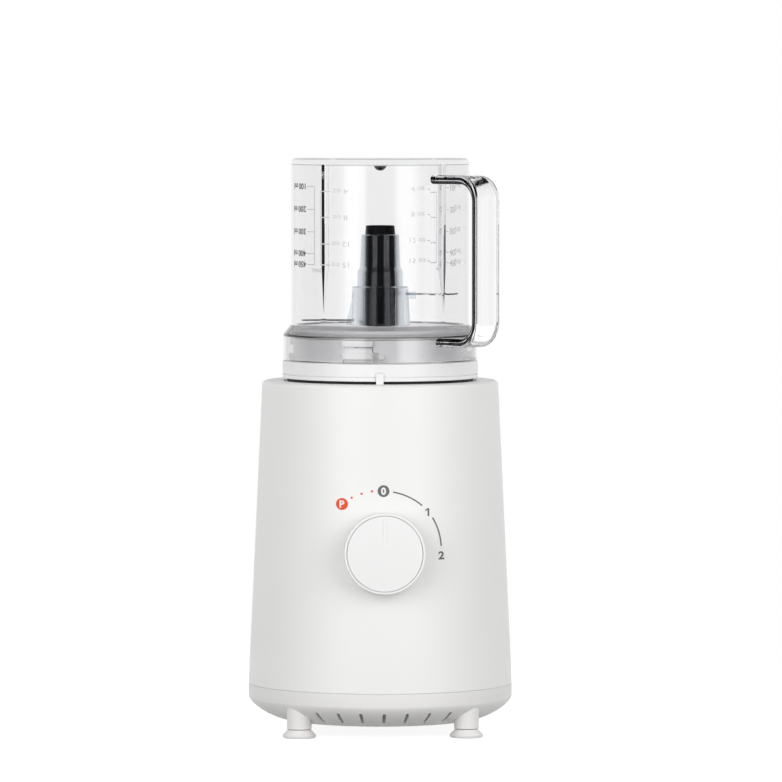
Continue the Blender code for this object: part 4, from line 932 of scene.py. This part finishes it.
def make_carrier():
    """The stepped sleeve with an arm and a fin, slotted for the blades."""
    profile = rounded([
        (9.3, 288.0, 0.2), (11.0, 288.0, 0.5), (11.7, 269.4, 1.0), (13.1, 266.6, 0.8),
        (13.3, 257.9, 0.5), (16.3, 257.9, 0.6), (17.4, 235.5, 0.4), (9.3, 235.5, 0.3),
    ], COARSE_ARC)
    arm = prism(rounded(ARM, COARSE_ARC), *ARM_Z)
    fin = moved(prism(rounded(FIN, COARSE_ARC), *FIN_SIDES), TO_FRONT)
    moved(fin, spin(180.0))
    carrier = combine(lathe(profile, ROUND), [arm, fin], "UNION")
    slots = []
    for _, turn, z in BLADES:
        slot = prism(box_outline(*BLADE_SLOT), z - BLADE_SLOT_HALF, z + BLADE_SLOT_HALF)
        slots.append(moved(slot, spin(turn)))
    carrier = combine(carrier, slots, "DIFFERENCE")
    piece("carrier_sleeve", carrier, UNIT, FROSTED, "blades", ["blade_carrier"])


def make_blades():
    """Thin blades with a curved edge that sweeps up to the tip."""
    outline = [(BLADE_ROOT, BLADE_HALF), (BLADE_ROOT, -BLADE_HALF), (BLADE_HEEL, -BLADE_HALF)]
    for k in range(1, BLADE_STEPS + 1):
        t = k / BLADE_STEPS
        bow = BLADE_BOW * math.sin(math.pi * t)
        outline.append((BLADE_HEEL + BLADE_LENGTH * t, -BLADE_HALF - bow + BLADE_SWEEP * t * t))
    outline.append((BLADE_HEEL, BLADE_HALF))
    for name, turn, z in BLADES:
        body = moved(prism(outline, z - BLADE_HALF_THICK, z + BLADE_HALF_THICK), spin(turn))
        piece(name + "_steel", body, UNIT, STEEL, "blades", [name])


# Jar

# The underside of the jar's closed end, and the gate below it
CEILING = 328.9
GATE_R = 3.9

# Ribs inside the jar: their directions, the heights of their sections and how they run out below; their
# depth, half width at the tip and half width at the root, each at the end and what it grows by above
RIB_TURNS = (230.2, 316.4)
RIB_HEIGHTS = (331.2, 300.0, 270.3, 264.0, 257.0, 250.0, 246.0, 243.9)
RIB_END = 243.9
RIB_RUN = 26.4
RIB_BACK = 50.6
RIB_ROOT = 49.4
RIB_FLANK = 0.2
RIB_SIZES = ((0.15, 3.45), (0.2, 0.8), (0.2, 1.4))


def rib(turn, steps=8):
    """A rounded rib on the inside of the jar, wider at its root and running out to a point below."""
    rings = []
    for z in RIB_HEIGHTS:
        share = min(1.0, (z - RIB_END) / RIB_RUN)
        depth, half, foot = (least + more * share for least, more in RIB_SIZES)
        tip = JAR_INNER_R - depth + half
        root = max(RIB_ROOT, tip + RIB_FLANK)
        ring = [(RIB_BACK, -foot), (root, -foot), (tip, -half)]
        for k in range(1, steps):
            a = math.pi * k / steps
            ring.append((tip - half * math.sin(a), -half * math.cos(a)))
        ring += [(tip, half), (root, foot), (RIB_BACK, foot)]
        rings.append([(r, w, z) for r, w in ring])
    return moved(loft(rings), spin(turn))


# The band handle: its direction, the middle line of its band, the band's half sizes, and the radii of
# its straight ends
HANDLE_TURN = -45.0
HANDLE_REACH = 85.45
HANDLE_TOP = 320.5
HANDLE_FOOT = 227.0
HANDLE_BEND = 12.45
HANDLE_DEEP = 2.55
HANDLE_WIDE = 10.0
HANDLE_ROUND = 2.3
HANDLE_INNER = HANDLE_REACH - HANDLE_BEND
HANDLE_TOP_END = (50.9, 60.0)
HANDLE_FOOT_END = (62.0, 55.2)


def handle(steps=16):
    """The band handle, swept in its own plane and set into the jar's wall at both ends."""
    path = [(r, HANDLE_TOP) for r in HANDLE_TOP_END]
    turns = [math.pi / 2 * k / steps for k in range(steps + 1)]
    for t in turns:
        out, down = HANDLE_BEND * math.sin(t), HANDLE_BEND * (1 - math.cos(t))
        path.append((HANDLE_INNER + out, HANDLE_TOP - down))
    for t in turns:
        out, up = HANDLE_BEND * math.cos(t), HANDLE_BEND * (1 - math.sin(t))
        path.append((HANDLE_INNER + out, HANDLE_FOOT + up))
    path += [(r, HANDLE_FOOT) for r in HANDLE_FOOT_END]
    section = box_outline(-HANDLE_DEEP, -HANDLE_WIDE, HANDLE_DEEP, HANDLE_WIDE, HANDLE_ROUND, steps=10)
    rings = []
    for i, point in enumerate(path):
        here = Vector(point)
        along = (Vector(path[min(i + 1, len(path) - 1)]) - Vector(path[max(i - 1, 0)])).normalized()
        across = Vector((-along.y, along.x))
        rings.append([(here.x + across.x * t, w, here.y + across.y * t) for t, w in section])
    return moved(loft(rings), spin(HANDLE_TURN))


def handle_offset(r, z):
    """How far a point in the handle's plane lies outside the middle line of its band."""
    high, low = HANDLE_TOP - HANDLE_BEND, HANDLE_FOOT + HANDLE_BEND
    if low < z < high:
        return r - HANDLE_REACH
    if r < HANDLE_INNER:
        return z - HANDLE_TOP if z > high else HANDLE_FOOT - z
    return math.hypot(r - HANDLE_INNER, z - (high if z >= high else low)) - HANDLE_BEND


def gate_arc(steps=10):
    """The rounded gate under the middle of the jar's closed end, from its rim to its tip."""
    points = []
    for k in range(steps + 1):
        t = math.pi / 2 * k / steps
        points.append((GATE_R * max(math.cos(t), 0.0), CEILING - GATE_R * math.sin(t)))
    points[-1] = (0.0, CEILING - GATE_R)
    return points


# Bounds of the jar's regions that get the handle's plastic or a tint that paints shade: radii and heights,
# and places in the handle's frame
PAST_SKIRT = 56.6
PAST_WALL = 52.2
PAST_WALL_Z = 237.0
NEAR_SIDE = -7.8
NEAR_EDGE_OUT = 1.3
NEAR_EDGE_GLINT = (-0.65, -0.25)
GATE_REACH = 4.0
GATE_FOOT = 324.5
GATE_TOP = 328.2
RIM_Z = 328.5
RIB_REACH = 49.35
RIB_SIDE = 40.0
SHOULDER_REACH = 51.8
SHOULDER_Z = (230.4, 236.2)
SKIRT_REACH = 53.5
SKIRT_TOP = 229.6
SKIRT_EDGE = 215.9
LINE_REACH = 55.9
LINE_Z = (229.5, 230.4)


def jar_handle_and_painted_shade(at):
    """The handle's own plastic, or a tint that paints shade, for a point on the jar in the handle's frame;
    none where plain and clear.
    """
    reach = math.hypot(at.x, at.y)
    if reach > PAST_SKIRT or (reach > PAST_WALL and at.z > PAST_WALL_Z):
        offset = handle_offset(at.x, at.z)
        # The band's near side is painted dark as shade, all but a thin strip left clear for its glint.
        glint = NEAR_EDGE_GLINT[0] < offset < NEAR_EDGE_GLINT[1]
        dark = at.y < NEAR_SIDE and offset < NEAR_EDGE_OUT and not glint
        return EDGE_SHADE_CLEAR if dark else HANDLE_CLEAR
    # The gate, closed end, one rib, shoulder, skirt foot and a ring line get tints that paint shade.
    if at.z > GATE_FOOT and reach < GATE_REACH:
        return EDGE_SHADE_CLEAR if at.z < GATE_TOP else RIM_SHADE_CLEAR
    if at.z > RIM_Z:
        return RIM_SHADE_CLEAR
    if reach < RIB_REACH and at.x > RIB_SIDE:
        return RIB_SHADE_CLEAR
    if reach > SHOULDER_REACH and SHOULDER_Z[0] < at.z < SHOULDER_Z[1]:
        return SHOULDER_SHADE_CLEAR
    if at.z < SKIRT_EDGE:
        return SHOULDER_SHADE_CLEAR
    if reach > LINE_REACH and LINE_Z[0] < at.z <= LINE_Z[1]:
        return LINE_SHADE_CLEAR
    if reach > SKIRT_REACH and at.z < SKIRT_TOP:
        return SKIRT_CLEAR
    return None


# The handle's plastic and the tints that paint shade on the jar.
JAR_HANDLE_AND_SHADES = (
    HANDLE_CLEAR, RIM_SHADE_CLEAR, EDGE_SHADE_CLEAR, SHOULDER_SHADE_CLEAR, LINE_SHADE_CLEAR, SKIRT_CLEAR, RIB_SHADE_CLEAR
)

# The bayonet's ledges in the jar's mouth
LEDGE_IN, LEDGE_OUT = 51.0, 55.0
LEDGE_Z = (215.4, 217.3)
LEDGE_HALF = 13.0


def make_jar():
    """The jar, mouth down, with its ribs, bayonet ledges, gate and handle in one moulding."""
    profile = rounded([
        (0.0, 332.5, 0), (JAR_R, 332.5, 3.2), (JAR_R, 236.0, 1.5), (56.3, 230.5, 2.0),
        (56.3, 215.3, 1.1), (53.9, 215.3, 1.1), (53.9, 229.3, 1.0), (JAR_INNER_R, 234.8, 1.5),
        (JAR_INNER_R, CEILING, 0.6),
    ], steps=8)
    ribs = [rib(turn) for turn in RIB_TURNS]
    ledges = []
    for a in LUG_ANGLES:
        ends = (a - LEDGE_HALF, a + LEDGE_HALF)
        ledges.append(sector(LEDGE_IN, LEDGE_OUT, *LEDGE_Z, *ends, round_by=0.3))
    jar = combine(lathe(profile + gate_arc()), ribs + ledges + [handle()], "UNION")
    made = piece("jar_clear", jar, UNIT, CLEAR, "jar", ["jar", "jar_handle"])
    # Gives the handle its own plastic and paints shade on parts of the jar with darker tints.
    refinish(made, spin(-HANDLE_TURN) @ UNIT.inverted(), JAR_HANDLE_AND_SHADES, jar_handle_and_painted_shade)


# The printed scales: (height, figure) of each mark, the direction, ends and half width of each upright
# line, and along the wall from that line the ends of its ticks and the middle of its words
ML_MARKS = ((316.4, "100"), (303.3, "200"), (290.4, "300"), (277.8, "400"), (271.5, "450"))
OZ_MARKS = ((313.7, "4"), (298.7, "8"), (283.5, "12"), (271.5, "15"))
ML_LINE, OZ_LINE = -136.4, -131.2
ML_TOP, OZ_TOP = 316.6, 313.9
SCALE_FOOT = 271.3
ML_HALF, OZ_HALF = 0.2, 0.17
ML_TICK, ML_TICK_HALF = (-6.8, -0.35), 0.2
OZ_TICK, OZ_TICK_HALF = (0.3, 7.0), 0.3
TICK_PARTS = 4
ML_WORDS, OZ_WORDS = -15.9, 13.7
MAX_SPOT = (1.5, 268.2)

# Each side's turn, and its inks for the figures, the first scale's lines and the second scale; on the back
# the one ink is painted paler, as light from inside the jar
SCALE_SIDES = (
    ("front", 0.0, PRINT_GREY, PRINT_MID, PRINT_PALE),
    ("back", 180.0, PRINT_BACKLIT, PRINT_BACKLIT, PRINT_BACKLIT),
)


def scale_lines(marks, half, top, tick, tick_half):
    """An upright line with a tick at each mark."""
    lines = bar_faces(-half, SCALE_FOOT, half, top)
    for z, _ in marks:
        lines += bar_faces(tick[0], z - tick_half, tick[1], z + tick_half, TICK_PARTS)
    return lines


def make_scales():
    """Printed volume scales, upside down as the jar stands, at front left and again opposite."""

    def mark(name, faces, lay, material):
        piece(name, print_solid(faces, lay), UNIT, material, "jar")

    ml_lines = scale_lines(ML_MARKS, ML_HALF, ML_TOP, ML_TICK, ML_TICK_HALF)
    oz_lines = scale_lines(OZ_MARKS, OZ_HALF, OZ_TOP, OZ_TICK, OZ_TICK_HALF)
    for tag, turn, ink, line, faint in SCALE_SIDES:
        ml = lay_on_jar(ML_LINE + turn)
        oz = lay_on_jar(OZ_LINE + turn)
        mark(f"scale_ml_{tag}", ml_lines, ml, line)
        for z, words in ML_MARKS:
            spot = (ML_WORDS, z)
            faces = text_faces(words + " ml", height=3.6, at=spot, turned=True, weight=0.03, wide=1.25)
            mark(f"scale_ml_{tag}_{words}", faces, ml, ink)
        mark(f"scale_max_{tag}", text_faces("MAX", height=2.4, at=MAX_SPOT, turned=True), ml, line)
        mark(f"scale_oz_{tag}", oz_lines, oz, faint)
        for z, words in OZ_MARKS:
            faces = text_faces(words + " oz", height=2.9, at=(OZ_WORDS, z), turned=True, wide=1.3)
            mark(f"scale_oz_{tag}_{words}", faces, oz, faint)


# Stage: sizes here are in metres

FLOOR_DARK = (0.36, 0.36, 0.36)
FLOOR_LIGHT = (0.38, 0.38, 0.38)
FLOOR_ROUGH = 0.9
FLOOR_GLOW = 0.88
FLOOR_SIZE = (2.0, 1.0)
FLOOR_AT = (0.0, -0.1, -0.0002)


def make_floor():
    """A pale floor that takes the object's shadow and shows white to the camera, gloss and glass."""
    made, graph, shader = new_material("floor_white")
    tone = graph.tones(graph.noise(FLOOR_MOTTLE), FLOOR_DARK, FLOOR_LIGHT)
    graph.feed(shader, {"Base Color": tone, "Roughness": FLOOR_ROUGH})
    path = graph.add("LightPath").outputs
    seen = path["Is Camera Ray"]
    for kind in ("Is Glossy Ray", "Is Transmission Ray"):
        seen = graph.calc("ADD", seen, path[kind], clamp=True)
    glow = graph.add("Emission", {"Strength": graph.calc("MULTIPLY", seen, FLOOR_GLOW)})
    both = graph.add("AddShader", {0: shader.outputs["BSDF"], 1: glow.outputs["Emission"]})
    graph.feed(graph.nodes["Material Output"], {"Surface": both.outputs["Shader"]})
    bm = bmesh.new()
    bmesh.ops.create_grid(bm, x_segments=24, y_segments=12, size=0.5)
    bmesh.ops.scale(bm, vec=(*FLOOR_SIZE, 1.0), verts=bm.verts)
    mesh = bpy.data.meshes.new("floor")
    bm.to_mesh(mesh)
    bm.free()
    mesh.materials.append(made)
    floor = new_object("floor", mesh)
    floor.location = FLOOR_AT


# The room, by the direction's share towards the back, the side, the front or up and down
DARK = (0.02, 0.02, 0.02)
BLACK = (0.0, 0.0, 0.0)
PURE = (1.0, 1.0, 1.0)
PALE = (0.8, 0.8, 0.8)
BEHIND_STOPS = [(0.10, DARK), (0.42, PALE), (0.75, PURE)]
SIDE_GAP = (0.06, 0.12)
SIDE_LEVEL = 0.6
LEVEL_STOPS = [(0.30, PURE), (0.55, BLACK)]
SOFTBOX_STOPS = [(0.28, BLACK), (0.36, PURE), (0.66, PURE), (0.78, BLACK)]
SOFTBOX_LEVEL_STOPS = [(0.45, PURE), (0.70, BLACK)]
AHEAD_STOPS = [(0.1, BLACK), (0.4, PURE)]
SOFTBOX_GLOW = 1.3
FRONT_LIGHT = 0.36
BACK_LIGHT = 0.68
LIGHT_TURN = (-0.3, 0.3)
LIGHT_COLOUR = (1.0, 1.0, 1.0, 1.0)


def make_world():
    """Soft room light, a white backdrop, and a room for gloss and glass: gloss sees it dark in front,
    and what is seen through glass is dark only in two narrow bands on either side."""
    world = bpy.data.worlds.new("studio")
    bpy.context.scene.world = world
    world.use_nodes = True
    graph = Graph(world.node_tree)
    path = graph.add("LightPath").outputs
    x, y, z = graph.axes("Generated")
    depth = graph.calc("ABSOLUTE", y)
    height = graph.calc("ABSOLUTE", z)
    through = graph.calc("MAXIMUM", depth, graph.map_range(depth, *SIDE_GAP, SIDE_LEVEL, 0.0))
    through = graph.calc("MULTIPLY", through, path["Is Transmission Ray"])
    behind = graph.ramp(graph.calc("MAXIMUM", y, through), BEHIND_STOPS)
    behind = graph.calc("MULTIPLY", behind, graph.ramp(height, LEVEL_STOPS))
    boxes = graph.ramp(graph.calc("ABSOLUTE", x), SOFTBOX_STOPS)
    boxes = graph.calc("MULTIPLY", boxes, graph.ramp(graph.calc("MULTIPLY", y, -1.0), AHEAD_STOPS))
    boxes = graph.calc("MULTIPLY", boxes, SOFTBOX_GLOW)
    boxes = graph.calc("MULTIPLY", boxes, graph.ramp(height, SOFTBOX_LEVEL_STOPS))
    light = graph.nodes["Background"]
    around = graph.map_range(y, *LIGHT_TURN, FRONT_LIGHT, BACK_LIGHT)
    graph.feed(light, {"Color": LIGHT_COLOUR, "Strength": around})
    room = {"Color": LIGHT_COLOUR, "Strength": graph.calc("ADD", behind, boxes)}
    room = graph.add("Background", room).outputs["Background"]
    backdrop = {"Color": LIGHT_COLOUR, "Strength": 1.0}
    backdrop = graph.add("Background", backdrop).outputs["Background"]
    surface = light.outputs["Background"]
    for kind, seen in (("Is Glossy Ray", room), ("Is Transmission Ray", room), ("Is Camera Ray", backdrop)):
        surface = graph.mix(path[kind], surface, seen)
    graph.feed(graph.nodes["World Output"], {"Surface": surface})


# The two lamps: name, place and power in watts
LAMPS = (
    ("softbox_right", (1.52, -2.09, 0.85), 35.0),
    ("softbox_left", (-1.52, -2.09, 0.80), 33.4),
)
LAMP_AIM = (0.0, 0.0, 0.15)
LAMP_SIZE = 1.8


def make_lamps():
    for name, place, power in LAMPS:
        data = bpy.data.lights.new(name, "AREA")
        data.shape = "RECTANGLE"
        data.size = data.size_y = LAMP_SIZE
        data.energy = power
        lamp = new_object(name, data)
        lamp.location = place
        lamp.rotation_euler = (Vector(LAMP_AIM) - Vector(place)).to_track_quat("-Z", "Y").to_euler()
        lamp.visible_camera = False
        lamp.visible_glossy = False
        lamp.visible_transmission = False


# The camera: its turn in degrees, its tilt in radians, and in pixels the picture's width, the focal
# length and the column that the motor axis stands in
CAMERA_TURN = -1.8
CAMERA_DISTANCE = 3.598
CAMERA_HEIGHT = 0.3699
CAMERA_TILT = 0.048
CAMERA_FOCAL = 6196.0
PICTURE = 782.0
AXIS_X = 380.2
SENSOR = 36.0


def make_camera():
    data = bpy.data.cameras.new("camera")
    data.lens = CAMERA_FOCAL / PICTURE * SENSOR
    data.sensor_width = SENSOR
    data.clip_end = 50.0
    camera = new_object("camera", data)
    turn = math.radians(CAMERA_TURN)
    ahead = Vector((-math.sin(turn), math.cos(turn), 0.0))
    right = Vector((math.cos(turn), math.sin(turn), 0.0))
    centre = Vector((0.0, AXIS_Y, CAMERA_HEIGHT))
    camera.location = centre - ahead * CAMERA_DISTANCE
    aside = (PICTURE / 2 - AXIS_X) / CAMERA_FOCAL
    look = ahead + right * aside - Vector((0.0, 0.0, math.tan(CAMERA_TILT)))
    camera.rotation_euler = look.to_track_quat("-Z", "Y").to_euler()
    bpy.context.scene.camera = camera


def main():
    dress_cad_nodes()
    make_housing()
    make_cover()
    make_feet()
    make_socket_ring()
    make_gland()
    make_knob()
    make_dial_marks()
    make_holder()
    make_core()
    make_carrier()
    make_blades()
    make_jar()
    make_scales()
    make_floor()
    make_world()
    make_lamps()
    make_camera()
    bpy.context.scene.view_settings.view_transform = "Standard"


main()
